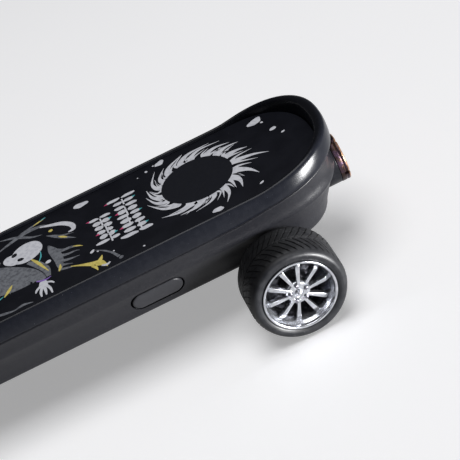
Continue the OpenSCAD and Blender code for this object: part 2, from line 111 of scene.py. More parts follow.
# %% Helpers for modelling
def only(piece=None):
    """Selects nothing, or only this piece."""
    if bpy.context.object and bpy.context.object.mode != "OBJECT":
        bpy.ops.object.mode_set(mode="OBJECT")
    bpy.ops.object.select_all(action="DESELECT")
    if piece:
        piece.select_set(True)
        bpy.context.view_layer.objects.active = piece


def named(name):
    """Names the piece that an operator has just made."""
    piece = bpy.context.object
    piece.name = piece.data.name = name
    return piece


def edit(piece, kind="VERT"):
    """Goes into edit mode with everything selected."""
    only(piece)
    bpy.ops.object.mode_set(mode="EDIT")
    bpy.ops.mesh.select_mode(type=kind)
    bpy.ops.mesh.select_all(action="SELECT")


def pick(piece, kind, test):
    """Goes into edit mode with only those edges or faces selected that pass a test."""
    edit(piece, kind)
    bpy.ops.mesh.select_all(action="DESELECT")
    only(piece)
    for part in piece.data.edges if kind == "EDGE" else piece.data.polygons:
        part.select = test(part)
    bpy.ops.object.mode_set(mode="EDIT")


def done(piece, angle):
    """Leaves edit mode and shades the piece smooth up to an angle in degrees."""
    only(piece)
    bpy.ops.object.shade_smooth_by_angle(angle=math.radians(angle))


def put_down(piece):
    """Moves an object's place into its mesh, so that the object sits at the origin."""
    only(piece)
    bpy.ops.object.transform_apply(location=True, rotation=True, scale=True)
    return piece


def outwards(piece):
    """Merges doubles and points all faces outwards."""
    edit(piece)
    bpy.ops.mesh.remove_doubles(threshold=0.001 * MM)
    bpy.ops.mesh.normals_make_consistent(inside=False)
    only(piece)
    return piece


def join(name, pieces):
    """Joins pieces into the first of them."""
    only(pieces[0])
    for piece in pieces[1:]:
        piece.select_set(True)
    if len(pieces) > 1:
        bpy.ops.object.join()
    return named(name)


def copy_of(piece, name):
    """A copy with a mesh of its own."""
    twin = piece.copy()
    twin.data = piece.data.copy()
    twin.name = twin.data.name = name
    bpy.context.scene.collection.objects.link(twin)
    return twin


def modify(piece, kind, **settings):
    """Adds a modifier, sets it and applies it."""
    only(piece)
    modifier = piece.modifiers.new(kind.title(), kind)
    for key, value in settings.items():
        setattr(modifier, key, value)
    bpy.ops.object.modifier_apply(modifier=modifier.name)


def cut(piece, cutter, operation="DIFFERENCE"):
    """Cuts one piece with another, which is then thrown away."""
    modify(piece, "BOOLEAN", object=cutter, operation=operation, solver="EXACT")
    bpy.data.objects.remove(cutter)


def unite(piece, other):
    """Makes one solid of a piece and another."""
    cut(piece, other, "UNION")


def bevel(piece, width, segments, angle=30):
    """Rounds the edges that are sharper than an angle in degrees."""
    modify(piece, "BEVEL", width=width * MM, segments=segments, limit_method="ANGLE",
           angle_limit=math.radians(angle))


def sliced_box(name, slices):
    """A unit box cut into slices along X, which can then be laid along a path."""
    only()
    bpy.ops.mesh.primitive_cube_add(size=1)
    piece = named(name)

    def runs_along(edge):
        a, b = (piece.data.vertices[v].co for v in edge.vertices)
        return abs(a.x - b.x) > 0.5

    pick(piece, "EDGE", runs_along)
    bpy.ops.mesh.subdivide(number_cuts=slices - 1)
    only(piece)
    return piece


def fit(piece, body, slot, *nodes):
    """The piece rides on a body and stands for nodes, which are hidden; slot is not used."""
    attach(piece, body)
    if nodes:
        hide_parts(*nodes)

# %% [markdown]
# ## Sizes from the frame
# The deck's middle, the panel's height and the tips are read from the packed
# nodes. Everything on the body is then measured from there: u along the deck
# from its middle, and z down or up from the printed panel.

# %% Sizes from the frame
deck_low, deck_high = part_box("deck_shell")
panel_low, panel_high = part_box("art_panel")
DECK_X = (deck_low.x + deck_high.x) / 2 / MM
PANEL_Z = panel_high.z / MM
TIP = (deck_high.x - deck_low.x) / 2 / MM
HALF = (deck_high.y - deck_low.y) / 2 / MM
BODY_D = PANEL_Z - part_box("lower_shell")[0].z / MM
STRAIGHT = TIP - 16.5
ROUNDNESS = 2.35
KICK, KICK_LEAD, KICK_BLEND = 0.173, 1.9, 1.2
SEAM, SEAM_LEAD, SEAM_BLEND = 0.11, 8.3, 1.5
print(f"deck {2 * TIP:.1f} x {2 * HALF:.1f} mm, panel {PANEL_Z:.1f} mm over the ground")


def ramp(s, blend):
    """Zero before s = 0, climbing one for one after it, with a soft start."""
    return (s + math.sqrt(s * s + blend * blend)) / 2


def kick_at(u):
    """How far the rim has climbed at u."""
    return KICK * ramp(abs(u) - STRAIGHT + KICK_LEAD, KICK_BLEND)


def seam_at(u):
    """How far the seam under the deck has climbed at u."""
    return SEAM * ramp(abs(u) - STRAIGHT + SEAM_LEAD, SEAM_BLEND)

# %% [markdown]
# ## Rings
# The shells are lofts: a stack of rings, each a long shape with straight
# sides and rounded ends, some of them climbing towards the tips. A circle is
# added and extruded upwards once per ring, which gives a tube with the right
# faces, and then each ring of the tube is laid on its outline. A section is a
# list of (in from the side, in from the tip, z, share of the kick, share of
# the seam's rise, corner radius), and its corners are rounded first.

# %% Rings
END_STEPS = 44
CORNER_STEPS = 4
SIDE_STOPS = (43, 41, 39, 36, 30, 20, 0, -20, -30, -36, -39, -41, -43)


def signed_power(value, power):
    return math.copysign(abs(value) ** power, value)


def outline(half_width, half_length):
    """Points round a deck shape, in order, starting at the tail's left corner."""
    points = []
    for side in (1, -1):
        for i in range(END_STEPS + 1):
            a = -math.pi / 2 + math.pi * i / END_STEPS
            reach = (half_length - STRAIGHT) * signed_power(math.cos(a), 2 / ROUNDNESS)
            across = half_width * signed_power(math.sin(a), 2 / ROUNDNESS)
            points.append((side * (STRAIGHT + reach), side * across))
        points += [(side * u, side * half_width) for u in SIDE_STOPS]
    return points


def ring(in_side, in_tip, z, kick=0.0, seam=0.0):
    """One ring of a loft, as points in place."""
    return [
        Vector((DECK_X + u, y, PANEL_Z + z + kick * kick_at(u) + seam * seam_at(u))) * MM
        for u, y in outline(HALF - in_side, TIP - in_tip)
    ]


def corner_curve(here, shares, steps):
    """A short curve in a corner's place; shares pairs each neighbour with how far it reaches."""
    ends = [[h + (o - h) * share for h, o in zip(here, other)] for other, share in shares]
    return [
        tuple((1 - t) ** 2 * a + 2 * t * (1 - t) * h + t * t * b for a, h, b in zip(ends[0], here, ends[1]))
        for t in (k / steps for k in range(steps + 1))
    ]


def rounded(section):
    """The section with each corner that has a radius turned into a short curve."""
    result = []
    for i, corner in enumerate(section):
        here, radius = corner[:5], corner[5]
        if radius == 0 or i in (0, len(section) - 1):
            result.append(here)
            continue
        shares = []
        for other in (section[i - 1][:5], section[i + 1][:5]):
            span = math.hypot(other[0] - here[0], other[2] - here[2])
            shares.append((other, min(radius / span, 0.49)))
        result += corner_curve(here, shares, CORNER_STEPS)
    return result


def ring_stack(name, rings):
    """A closed body through rings of equally many points."""
    count = len(rings[0])
    only()
    bpy.ops.mesh.primitive_circle_add(vertices=count, radius=1)
    piece = named(name)
    edit(piece, "EDGE")
    for _ in rings[1:]:
        bpy.ops.mesh.extrude_region_move(TRANSFORM_OT_translate={"value": (0, 0, 1)})
    bpy.ops.mesh.edge_face_add()
    bpy.ops.mesh.select_all(action="DESELECT")
    bpy.ops.mesh.select_non_manifold()
    bpy.ops.mesh.edge_face_add()
    only(piece)
    step = 2 * math.pi / count
    for vertex in piece.data.vertices:
        x, y, level = vertex.co
        place = round((math.atan2(y, x) - math.pi / 2) / step) % count
        vertex.co = rings[round(level)][place]
    return outwards(piece)

# %% [markdown]
# ## Shader maths
# A material is a small program of nodes. Wire wraps one socket, so that
# `cloud + grain` or `noise * 0.3` adds the Math node it needs. Everything
# else comes from one method, which takes a node's type, its settings, and the
# values or wires of its sockets.

# %% Shader maths
class Wire:
    """A socket of a finish, with arithmetic."""

    def __init__(self, finish, socket):
        self.finish, self.socket = finish, socket

    def maths(self, operation, *values):
        return self.finish.node("ShaderNodeMath", {"operation": operation}, dict(enumerate(values)))

    def __add__(self, other):
        return self.maths("ADD", self, other)

    def __sub__(self, other):
        return self.maths("SUBTRACT", self, other)

    def __mul__(self, other):
        return self.maths("MULTIPLY", self, other)

    def __lt__(self, other):
        return self.maths("LESS_THAN", self, other)

    def out(self, name):
        return Wire(self.finish, self.socket.node.outputs[name])


class Finish:
    """A material under construction: a Principled shader and the nodes before it."""

    def __init__(self, name, **constants):
        self.material = bpy.data.materials.new(name)
        self.material.use_nodes = True
        self.tree = self.material.node_tree
        self.shader = self.tree.nodes["Principled BSDF"]
        self.set(**constants)

    def node(self, kind, settings=None, inputs=None, output=0):
        node = self.tree.nodes.new(kind)
        for key, value in (settings or {}).items():
            setattr(node, key, value)
        for key, value in (inputs or {}).items():
            self.plug(node.inputs[key], value)
        return Wire(self, node.outputs[output])

    def plug(self, socket, value):
        if isinstance(value, Wire):
            self.tree.links.new(value.socket, socket)
        elif isinstance(value, tuple) and socket.type == "RGBA" and len(value) == 3:
            socket.default_value = (*value, 1)
        else:
            socket.default_value = value

    def set(self, **wires):
        """Sets the shader's own sockets: Base_Color stands for Base Color."""
        for key, value in wires.items():
            self.plug(self.shader.inputs[key.replace("_", " ")], value)
        return self

    def place(self, scale=(1, 1, 1), move=(0, 0, 0)):
        """Object coordinates, in millimetres, moved and then stretched."""
        where = self.node("ShaderNodeTexCoord", output=3)
        size = tuple(s / MM for s in scale)
        shift = tuple(-m * s for m, s in zip(move, scale))
        return self.node("ShaderNodeMapping", None, {"Vector": where, "Scale": size, "Location": shift})

    def axes(self, where):
        """The three coordinates of a place, as three wires."""
        x = self.node("ShaderNodeSeparateXYZ", None, {0: where})
        return x, x.out("Y"), x.out("Z")

    def noise(self, where, scale, detail=2.0, roughness=0.5, warp=0.0):
        return self.node("ShaderNodeTexNoise", None, {
            "Vector": where, "Scale": scale, "Detail": detail, "Roughness": roughness, "Distortion": warp})

    def cells(self, where, scale):
        return self.node("ShaderNodeTexVoronoi", None, {"Vector": where, "Scale": scale})

    def step(self, value, low, high, to_low=0.0, to_high=1.0):
        """A smooth step from low to high."""
        return self.node("ShaderNodeMapRange", {"interpolation_type": "SMOOTHSTEP"}, {
            0: value, 1: low, 2: high, 3: to_low, 4: to_high})

    def mix(self, share, first, second):
        return self.node("ShaderNodeMix", {"data_type": "RGBA"}, {0: share, 6: first, 7: second}, output=2)

    def plain(self, operation, value):
        """A sum on one value, such as its square root."""
        return value.maths(operation, value)

    def bump(self, height, distance, strength=1.0, under=None):
        inputs = {"Height": height, "Distance": distance * MM, "Strength": strength}
        if under:
            inputs["Normal"] = under
        return self.node("ShaderNodeBump", None, inputs)


def wear(finish, *pieces):
    """Gives pieces or nodes a finish, whatever they wore before."""
    for piece in pieces:
        piece.data.materials.clear()
        piece.data.materials.append(finish.material)


def ready(piece, angle, finish, body, slot, *nodes):
    """Shades a piece, gives it its finish and hands it over."""
    done(piece, angle)
    wear(finish, piece)
    fit(piece, body, slot, *nodes)

# %% [markdown]
# ## Finishes of the shells
# The deck is moulded in black plastic with a satin skin: nearly smooth, with
# the faint waviness of a polished mould and a few specks of dust. The lower
# shell is the same plastic out of a finely blasted mould, so its grain is
# tighter and breaks a highlight up.

# %% Finishes of the shells
SPECK_IN, SPECK_OUT, SPECK_SHOWS = 0.04, 0.075, 0.45


def dusted(finish, base, dust=(0.20, 0.20, 0.21), scale=2.2, share=0.12):
    """Specks of dust over a base colour: the middles of a few scattered cells."""
    where = finish.place()
    cell = finish.cells(where, scale)
    few = finish.node("ShaderNodeSeparateColor", None, {0: cell.out("Color")}) < share
    speck = finish.step(cell, SPECK_IN, SPECK_OUT, 1.0, 0.0) * few
    return finish.mix(speck * SPECK_SHOWS, base, dust)


def satin_black():
    f = Finish("satin_black", IOR=1.5, Specular_IOR_Level=0.17)
    where = f.place()
    waves = f.noise(where, 0.9, 3.0)
    grain = f.noise(where, 9.0, 3.0, 0.6)
    tint = f.mix(f.step(waves, 0.35, 0.7), (0.0032, 0.0036, 0.0052), (0.0040, 0.0044, 0.0062))
    return f.set(
        Base_Color=dusted(f, tint),
        Roughness=f.step(waves, 0.3, 0.7, 0.225, 0.240) + grain * 0.03,
        Normal=f.bump(grain, 0.010, 0.5, f.bump(waves, 0.02, 0.4)),
    )


def grained_black():
    f = Finish("grained_black", IOR=1.5, Specular_IOR_Level=0.19)
    where = f.place()
    waves = f.noise(where, 0.7, 2.0)
    grain = f.noise(where, 7.0, 4.0, 0.65)
    pits = f.cells(where, 5.5)
    tint = f.mix(f.step(grain, 0.4, 0.65), (0.0036, 0.0038, 0.0050), (0.0090, 0.0090, 0.0106))
    return f.set(
        Base_Color=dusted(f, tint, scale=1.7, share=0.1),
        Roughness=f.step(waves, 0.3, 0.7, 0.29, 0.36) + grain * 0.08,
        Normal=f.bump(grain + pits * 0.4, 0.030, 0.8),
    )

# %% [markdown]
# ## Deck
# A tray: a level floor for the panel, a rim that climbs at both tips, a satin
# band that slopes out to the seam, and a lip that drops inside the lower
# shell. One section swept round the outline makes all of it. Four posts for
# the casing screws hang from its floor.

# %% Deck
def rod(name, radius, start, end, vertices=64):
    """A plain round bar between two points, to cut with or to add."""
    start, end = Vector(start), Vector(end)
    only()
    bpy.ops.mesh.primitive_cylinder_add(
        vertices=vertices, radius=radius * MM, depth=(end - start).length * MM,
        location=(start + end) / 2 * MM, rotation=(end - start).to_track_quat("Z", "Y").to_euler())
    return put_down(named(name))


def upright(name, radius, u, y, low, high, vertices=32):
    """A bar that stands upright, in the deck's own measures."""
    return rod(name, radius, (DECK_X + u, y, PANEL_Z + low), (DECK_X + u, y, PANEL_Z + high), vertices)


deck = ring_stack("deck_tray", [ring(*corner) for corner in rounded([
    (2.50, 2.50, -1.70, 0.0, 0.0, 0.0),
    (2.50, 2.50, -4.00, 0.0, 1.0, 0.2),
    (1.75, 1.75, -4.00, 0.0, 1.0, 0.2),
    (1.75, 1.75, -3.20, 0.0, 1.0, 0.0),
    (0.08, 0.12, -3.20, 0.0, 1.0, 0.25),
    (0.00, 0.02, -2.75, 0.05, 0.95, 0.5),
    (0.12, 0.01, -2.10, 0.35, 0.7, 0.6),
    (0.33, 0.01, -1.30, 0.65, 0.4, 0.6),
    (0.70, 0.18, -0.15, 0.95, 0.1, 0.5),
    (1.05, 0.75, 0.42, 1.0, 0.0, 0.45),
    (1.45, 1.60, 0.61, 1.0, 0.0, 0.4),
    (1.80, 2.50, 0.45, 1.0, 0.0, 0.18),
    (2.05, 2.80, -0.45, 0.0, 0.0, 0.0),
])])
BOSS_U, BOSS_Y, BOSS_R, PILOT_R = 33.0, 9.98, 1.35, 0.70
BOSS_FOOT, BOSS_HEAD, PILOT_DEPTH = -12.8, -1.0, 5.2
BOSSES = [(su * BOSS_U, sy * BOSS_Y) for su in (-1, 1) for sy in (-1, 1)]
for u, y in BOSSES:
    unite(deck, upright("boss", BOSS_R, u, y, BOSS_FOOT, BOSS_HEAD, 40))
    cut(deck, upright("pilot", PILOT_R, u, y, BOSS_FOOT - 1, BOSS_FOOT + PILOT_DEPTH))
ready(deck, 40, satin_black(), "chassis", "satin_shell", "deck_shell")
print("deck:", len(deck.data.polygons), "faces")

# %% [markdown]
# ## Lower shell
# A cup under the tray, lofted in the same way: up the outside, over the edge
# and down the inside. Its upper flank is a little hollow and rolls out to a
# crease, which stands out most at the ends. The openings for the button, the
# connector, the charging socket and the screws are cut with booleans.

# %% Lower shell
def pill_y(name, u, z, length, height, y0, y1):
    """A pill-shaped bar along Y: a disc, split and drawn out, then extruded."""
    only()
    bpy.ops.mesh.primitive_circle_add(
        vertices=64, radius=height / 2 * MM, fill_type="NGON", rotation=(math.pi / 2, 0, 0),
        location=mm(0, y0, 0))
    piece = put_down(named(name))
    stretch = (length - height) / 2 * MM
    for vertex in piece.data.vertices:
        if abs(vertex.co.x) > 0.001 * MM:
            vertex.co.x += math.copysign(stretch, vertex.co.x)
        vertex.co += mm(DECK_X + u, 0, PANEL_Z + z)
    edit(piece, "FACE")
    bpy.ops.mesh.extrude_region_move(TRANSFORM_OT_translate={"value": mm(0, y1 - y0, 0)})
    return outwards(piece)


BUTTON_U, BUTTON_Z = 16.3, -10.2
SLOT_L, SLOT_H = 11.5, 4.7
CONNECTOR_Z, COLLAR_R = -9.2, 4.95
SLEEVE_U = 54.6
shell = ring_stack("lower_hull", [ring(*corner) for corner in rounded([
    (4.80, 7.90, -BODY_D, 0.0, 0.0, 0.0),
    (3.25, 5.45, -BODY_D, 0.0, 0.0, 1.6),
    (2.95, 4.80, -BODY_D + 1.9, 0.0, 0.0, 0.8),
    (1.90, 3.10, -9.10, 0.0, 0.0, 0.8),
    (1.20, 2.00, -7.70, 0.0, 0.2, 0.35),
    (0.94, 1.25, -7.20, 0.0, 0.22, 0.45),
    (0.84, 1.45, -6.60, 0.0, 0.3, 0.40),
    (0.92, 2.05, -5.60, 0.0, 0.5, 0.50),
    (0.68, 1.65, -4.50, 0.0, 0.8, 0.50),
    (0.40, 0.80, -3.75, 0.0, 1.0, 0.15),
    (0.75, 1.10, -3.45, 0.0, 1.0, 0.1),
    (1.65, 1.65, -3.35, 0.0, 1.0, 0.0),
    (1.65, 1.65, -4.20, 0.0, 1.0, 0.0),
    (2.35, 3.30, -7.20, 0.0, 0.25, 0.5),
    (4.20, 6.20, -12.20, 0.0, 0.0, 0.5),
    (5.00, 7.40, -12.90, 0.0, 0.0, 0.0),
])])
cut(shell, pill_y("slot_cutter", BUTTON_U, BUTTON_Z, SLOT_L, SLOT_H, -HALF, -9))
cut(shell, rod("connector_cutter", COLLAR_R, (DECK_X + SLEEVE_U - 0.05, 0, PANEL_Z + CONNECTOR_Z),
               (DECK_X + TIP + 2, 0, PANEL_Z + CONNECTOR_Z)))
ready(shell, 40, grained_black(), "chassis", "grained_shell", "lower_shell")
print("lower shell:", len(shell.data.polygons), "faces")

# %% [markdown]
# The charging socket sits behind a pill-shaped opening in the nose, and eight
# screws come up through the floor: four into the deck, four into the trucks.

# %% Openings in the nose and the floor
AXLE_U = 40.7
TRUCK_SCREW_DU = 5.6
USB_Z, USB_OPENING_L, USB_OPENING_H = -6.6, 9.3, 3.5
WAY_TOP, SEAT_TOP = -12.0, -BODY_D + 0.7
SCREW_WAY_R, SCREW_SEAT_R, TRUCK_SCREW_R = 0.95, 1.6, 0.65
TRUCK_SCREWS = [s * AXLE_U + du for s in (-1, 1) for du in (-TRUCK_SCREW_DU, TRUCK_SCREW_DU)]

usb_cutter = pill_y("usb_cutter", 0, USB_Z, USB_OPENING_L, USB_OPENING_H, -6, 6)
for vertex in usb_cutter.data.vertices:
    x, y, z = vertex.co
    vertex.co = mm(DECK_X - TIP, 0, 0) + Vector((y, -(x - DECK_X * MM), z))
cut(shell, usb_cutter)
for u, y in BOSSES:
    cut(shell, upright("screw_way", SCREW_WAY_R, u, y, -BODY_D - 1, WAY_TOP))
    cut(shell, upright("screw_seat", SCREW_SEAT_R, u, y, -BODY_D - 1, SEAT_TOP))
for u in TRUCK_SCREWS:
    cut(shell, upright("truck_screw_way", TRUCK_SCREW_R, u, 0, -BODY_D - 1, WAY_TOP))
done(shell, 40)
print("lower shell with its openings:", len(shell.data.polygons), "faces")

# %% [markdown]
# ## Turned pieces
# Tyres, rims, collars and pins are all turned: a closed profile is spun round
# an axis, as on a lathe. A profile is a list of (radius, distance along the
# axis). A circle with as many points as the profile gives the closed loop,
# its points are laid on the profile, and the spin operator does the rest.

# %% Turned pieces
def turned(name, profile, centre, axis, steps):
    """Spins a closed profile round an axis that starts at centre."""
    along = Vector(axis).normalized()
    out = Vector((0, 0, 1)) if abs(along.z) < 0.5 else Vector((1, 0, 0))
    only()
    bpy.ops.mesh.primitive_circle_add(vertices=len(profile), radius=1)
    piece = named(name)
    for vertex, (radius, distance) in zip(piece.data.vertices, profile):
        vertex.co = (Vector(centre) + out * radius + along * distance) * MM
    edit(piece)
    bpy.ops.mesh.spin(steps=steps, angle=2 * math.pi, center=Vector(centre) * MM, axis=along)
    return outwards(piece)


def soft_profile(points, radius, steps):
    """Rounds the corners of a closed profile, all but those on the axis."""
    result = []
    for i, here in enumerate(points):
        if here[0] < 0.001:
            result.append(here)
            continue
        neighbours = points[i - 1], points[(i + 1) % len(points)]
        shares = [(other, min(radius / max(math.dist(here, other), 0.0001), 0.45)) for other in neighbours]
        result += corner_curve(here, shares, steps)
    return result

# %% [markdown]
# ## Finishes of a wheel
# Tyre rubber is dark, a little greyer where it has been handled, and duller on
# the tread than on the sidewall: the distance from the axle tells them apart.
# The rims are plated plastic, bright on the spokes and the lip; deep in the
# barrel and on the web behind the spokes, painted shade darkens their colour.

# %% Finishes of a wheel
tyre_low, tyre_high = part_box("tyre_tail_left")
WHEEL_Z = (tyre_low.z + tyre_high.z) / 2 / MM
OUT_Y, IN_Y = -tyre_low.y / MM, -tyre_high.y / MM
SIDEWALL_END, TREAD_START = 9.3, 9.7
# Depths from the rim's outer face: the painted shade in the barrel is full past BARREL_DEPTH and fades out by
# SPOKE_DEPTH.
BARREL_DEPTH, SPOKE_DEPTH = 3.2, 1.9


def tyre_rubber():
    f = Finish("tyre_rubber", IOR=1.5, Specular_IOR_Level=0.26)
    where = f.place()
    cloud = f.noise(where, 0.6, 3.0)
    grain = f.noise(where, 6.0, 4.0, 0.6)
    tint = f.mix(f.step(cloud, 0.35, 0.7), (0.0042, 0.0045, 0.0056), (0.0080, 0.0083, 0.0096))
    x, _, z = f.axes(where)
    along = f.plain("ABSOLUTE", x - DECK_X) - AXLE_U
    up = z - WHEEL_Z
    tread = f.step(f.plain("SQRT", along * along + up * up), SIDEWALL_END, TREAD_START)
    tint = f.mix(tread * 0.55, tint, (0.0015, 0.0016, 0.0022))
    return f.set(
        Base_Color=dusted(f, tint, (0.35, 0.35, 0.36), 1.6, 0.16),
        Roughness=f.step(cloud, 0.3, 0.7, 0.34, 0.42) + tread * 0.18 + grain * 0.06,
        Normal=f.bump(grain, 0.012, 0.5),
    )


def bright_plate():
    f = Finish("bright_plate", IOR=1.6)
    where = f.place()
    cloud = f.noise(where, 0.8, 2.0)
    grain = f.noise(where, 8.0, 3.0, 0.6)
    y = f.axes(where)[1]
    # Painted shade: deep in the barrel the plate's colour is darkened to near black; front is 0 there and 1
    # on the spokes and the lip.
    front = f.step(f.plain("ABSOLUTE", y), OUT_Y - BARREL_DEPTH, OUT_Y - SPOKE_DEPTH)
    plated = f.mix(f.step(cloud, 0.3, 0.7), (0.40, 0.41, 0.44), (0.54, 0.55, 0.58))
    return f.set(
        Base_Color=f.mix(front, (0.075, 0.076, 0.085), plated),
        Metallic=f.step(grain, 0.2, 0.8, 1.0, 0.94),
        Roughness=f.step(cloud, 0.3, 0.7, 0.15, 0.22) + grain * 0.05,
        Normal=f.bump(grain, 0.004, 0.4),
    )


def dull_steel(name, tint, rough):
    """Plain metal: darker in patches, with fine scratches across the deck."""
    f = Finish(name, IOR=1.6)
    where = f.place()
    cloud = f.noise(where, 0.7, 3.0)
    scratch = f.noise(f.place((6, 0.5, 0.5)), 1.4, 4.0, 0.6)
    dark = tuple(c * 0.72 for c in tint)
    return f.set(
        Base_Color=f.mix(f.step(cloud, 0.3, 0.7), dark, tint),
        Metallic=f.step(cloud, 0.2, 0.8, 1.0, 0.93),
        Roughness=scratch * 0.18 + rough,
        Normal=f.bump(scratch, 0.006, 0.4),
    )


RUBBER, PLATE, NUT_STEEL = tyre_rubber(), bright_plate(), dull_steel("nut_steel", (0.22, 0.22, 0.25), 0.20)
print("three finishes for the wheels")

# %% [markdown]
# ## Tyre
# The carcass is turned: a smooth sidewall that rounds over into the shoulder.
# The tread is directional: rows of slanting, curved blocks lean towards a
# narrow rib along the middle. A block is a box, cut into slices and laid on
# the carcass, and the others in its row are copies of it.

# %% Tyre
AXLE = Vector((DECK_X + AXLE_U, 0, WHEEL_Z))
TYRE_R = (tyre_high.z - tyre_low.z) / 2 / MM
MID_Y = (OUT_Y + IN_Y) / 2
LIP_R, SEAT_R = 7.55, 7.2
TREAD_HALF = (OUT_Y - IN_Y) / 2 - 1.15
BASE_R = TYRE_R - 0.24
PITCHES, BLOCK_SLICES = 44, 5
SWEEP, SWEEP_CURVE = 2.1, 0.75
BLOCK_TAPER, BLOCK_TOP, BLOCK_CLEAR, BLOCK_ROOT = 0.18, 0.86, 0.03, 0.08
SHOULDER, SHOULDER_DROP = 0.9, 0.24
OUTWARD = (0, -1, 0)

side = [(SEAT_R + 0.05, 0.75), (LIP_R + 0.06, 0.70), (LIP_R + 0.10, 0.44), (LIP_R + 0.34, 0.22),
        (8.35, 0.04), (8.80, 0.02), (9.15, 0.16), (9.45, 0.46), (9.65, 0.86), (BASE_R, 1.35)]
carcass = [(r, OUT_Y - d) for r, d in side] + [(r, IN_Y + d) for r, d in reversed(side)]
tyre = turned("tyre_tail_left", soft_profile(carcass, 0.10, 2), AXLE, OUTWARD, 120)


def on_tread(across, along, radius):
    """A point of the tread: across from the middle, along as an angle."""
    return (AXLE + Vector((math.sin(along) * radius, -(MID_Y + across), math.cos(along) * radius))) * MM


def tread_block(row, start, stop, width):
    """A curved slanting block between two distances from the middle."""
    pitch = 2 * math.pi / PITCHES
    block = sliced_box("block", BLOCK_SLICES)
    for vertex in block.data.vertices:
        on_top = vertex.co.z > 0
        s = vertex.co.x + 0.5
        across = start + (stop - start) * s
        lean = SWEEP * (across / TREAD_HALF) ** SWEEP_CURVE * pitch
        half = width * pitch * (1 - BLOCK_TAPER * s) / 2 * (BLOCK_TOP if on_top else 1)
        drop = SHOULDER_DROP * max(0.0, (across - TREAD_HALF + SHOULDER) / SHOULDER) ** 2
        radius = TYRE_R - drop - BLOCK_CLEAR if on_top else BASE_R - BLOCK_ROOT
        vertex.co = on_tread(row * across, lean + math.copysign(half, vertex.co.y), radius)
    return outwards(block)


blocks = []
for row in (-1, 1):
    shift = 0.5 if row > 0 else 0.0
    inner_block = tread_block(row, 0.30, 2.30, 0.88)
    outer_block = tread_block(row, 2.40, TREAD_HALF, 0.93)
    for k in range(PITCHES):
        spin = Matrix.Rotation(2 * math.pi * (k + shift) / PITCHES, 4, "Y")
        roll = Matrix.Translation(AXLE * MM) @ spin @ Matrix.Translation(-AXLE * MM)
        for pattern in (inner_block, outer_block):
            twin = copy_of(pattern, "block")
            twin.data.transform(roll)
            blocks.append(twin)
    bpy.data.objects.remove(inner_block)
    bpy.data.objects.remove(outer_block)
rib = turned("rib", soft_profile([
    (BASE_R - 0.05, -0.22), (TYRE_R - 0.10, -0.16), (TYRE_R - 0.10, 0.16), (BASE_R - 0.05, 0.22)], 0.05, 2),
    AXLE + Vector((0, -MID_Y, 0)), OUTWARD, 120)
tyre = join("tyre_tail_left", [tyre, rib] + blocks)
outwards(tyre)
done(tyre, 32)
wear(RUBBER, tyre)
print("tyre:", len(tyre.data.polygons), "faces,", len(blocks), "tread blocks")

# %% [markdown]
# ## Rim
# The barrel is turned, with a polished lip and a dished front. The spokes come
# in five pairs. Each spoke is a box drawn out along a path that leaves the hub
# level, falls a little and dives into the barrel; it swells towards the rim,
# and its edges are bevelled round. The hub is turned with a seat for each nut,
# and a thin dished web closes the barrel behind the spokes.

# %% Rim
HUB_FACE = OUT_Y - 1.2
PAIRS, SPLIT = 5, 17.0
SPOKE_H, SPOKE_FLARE = 1.15, 1.12
NUT_RING, NUT_SEAT_R, NUT_SEAT_DEPTH = 1.75, 0.56, 0.42
NUT_ANGLES = [2 * math.pi / PAIRS * i for i in range(PAIRS)]
LIP = OUT_Y - 0.1
barrel = [
    (SEAT_R, IN_Y + 0.62), (LIP_R, IN_Y + 0.45), (LIP_R, IN_Y + 0.16), (LIP_R - 0.35, IN_Y + 0.15),
    (6.45, IN_Y + 1.2), (6.15, MID_Y - 1.5), (6.15, OUT_Y - 2.9), (6.5, OUT_Y - 1.5), (6.95, OUT_Y - 0.75),
    (7.02, OUT_Y - 0.28), (7.18, LIP), (LIP_R - 0.02, LIP), (LIP_R, OUT_Y - 0.42), (SEAT_R, OUT_Y - 0.62)]
rim = turned("rim_tail_left", soft_profile(barrel, 0.10, 3), AXLE, OUTWARD, 120)
hub = turned("hub", soft_profile([
    (1.04, IN_Y - 0.4), (2.55, IN_Y - 0.4), (2.62, MID_Y), (2.62, HUB_FACE - 1.3), (2.5, HUB_FACE - 0.45),
    (2.15, HUB_FACE - 0.04), (0.5, HUB_FACE), (0.42, HUB_FACE - 0.68), (1.04, HUB_FACE - 1.0)], 0.12, 3),
    AXLE, OUTWARD, 64)


def from_axle(angle):
    """The direction away from the axle at an angle from straight up."""
    return Vector((math.sin(angle), 0, math.cos(angle)))


def spoke(angle):
    """One spoke; its path is a list of (distance from the axle, depth, width)."""
    path = [(1.5, 0.10, 0.62), (2.3, 0.10, 0.60), (3.1, 0.16, 0.66), (4.0, 0.22, 0.76), (5.0, 0.26, 0.86),
            (5.9, 0.36, 0.94), (6.35, 0.62, 0.98), (6.6, 1.15, 1.0), (6.72, 1.9, 1.0)]
    bar = sliced_box("spoke", len(path) - 1)
    up = from_axle(angle)
    beside = Vector((math.cos(angle), 0, -math.sin(angle)))
    for vertex in bar.data.vertices:
        radius, drop, width = path[round((vertex.co.x + 0.5) * (len(path) - 1))]
        deep = drop if vertex.co.z > 0 else drop + SPOKE_H
        half = width / 2 if vertex.co.z > 0 else width / 2 * SPOKE_FLARE
        vertex.co = (AXLE + up * radius + beside * math.copysign(half, vertex.co.y)
                     + Vector((0, -(HUB_FACE - deep + 0.12), 0))) * MM
    outwards(bar)
    bevel(bar, 0.20, 3, 50)
    return bar


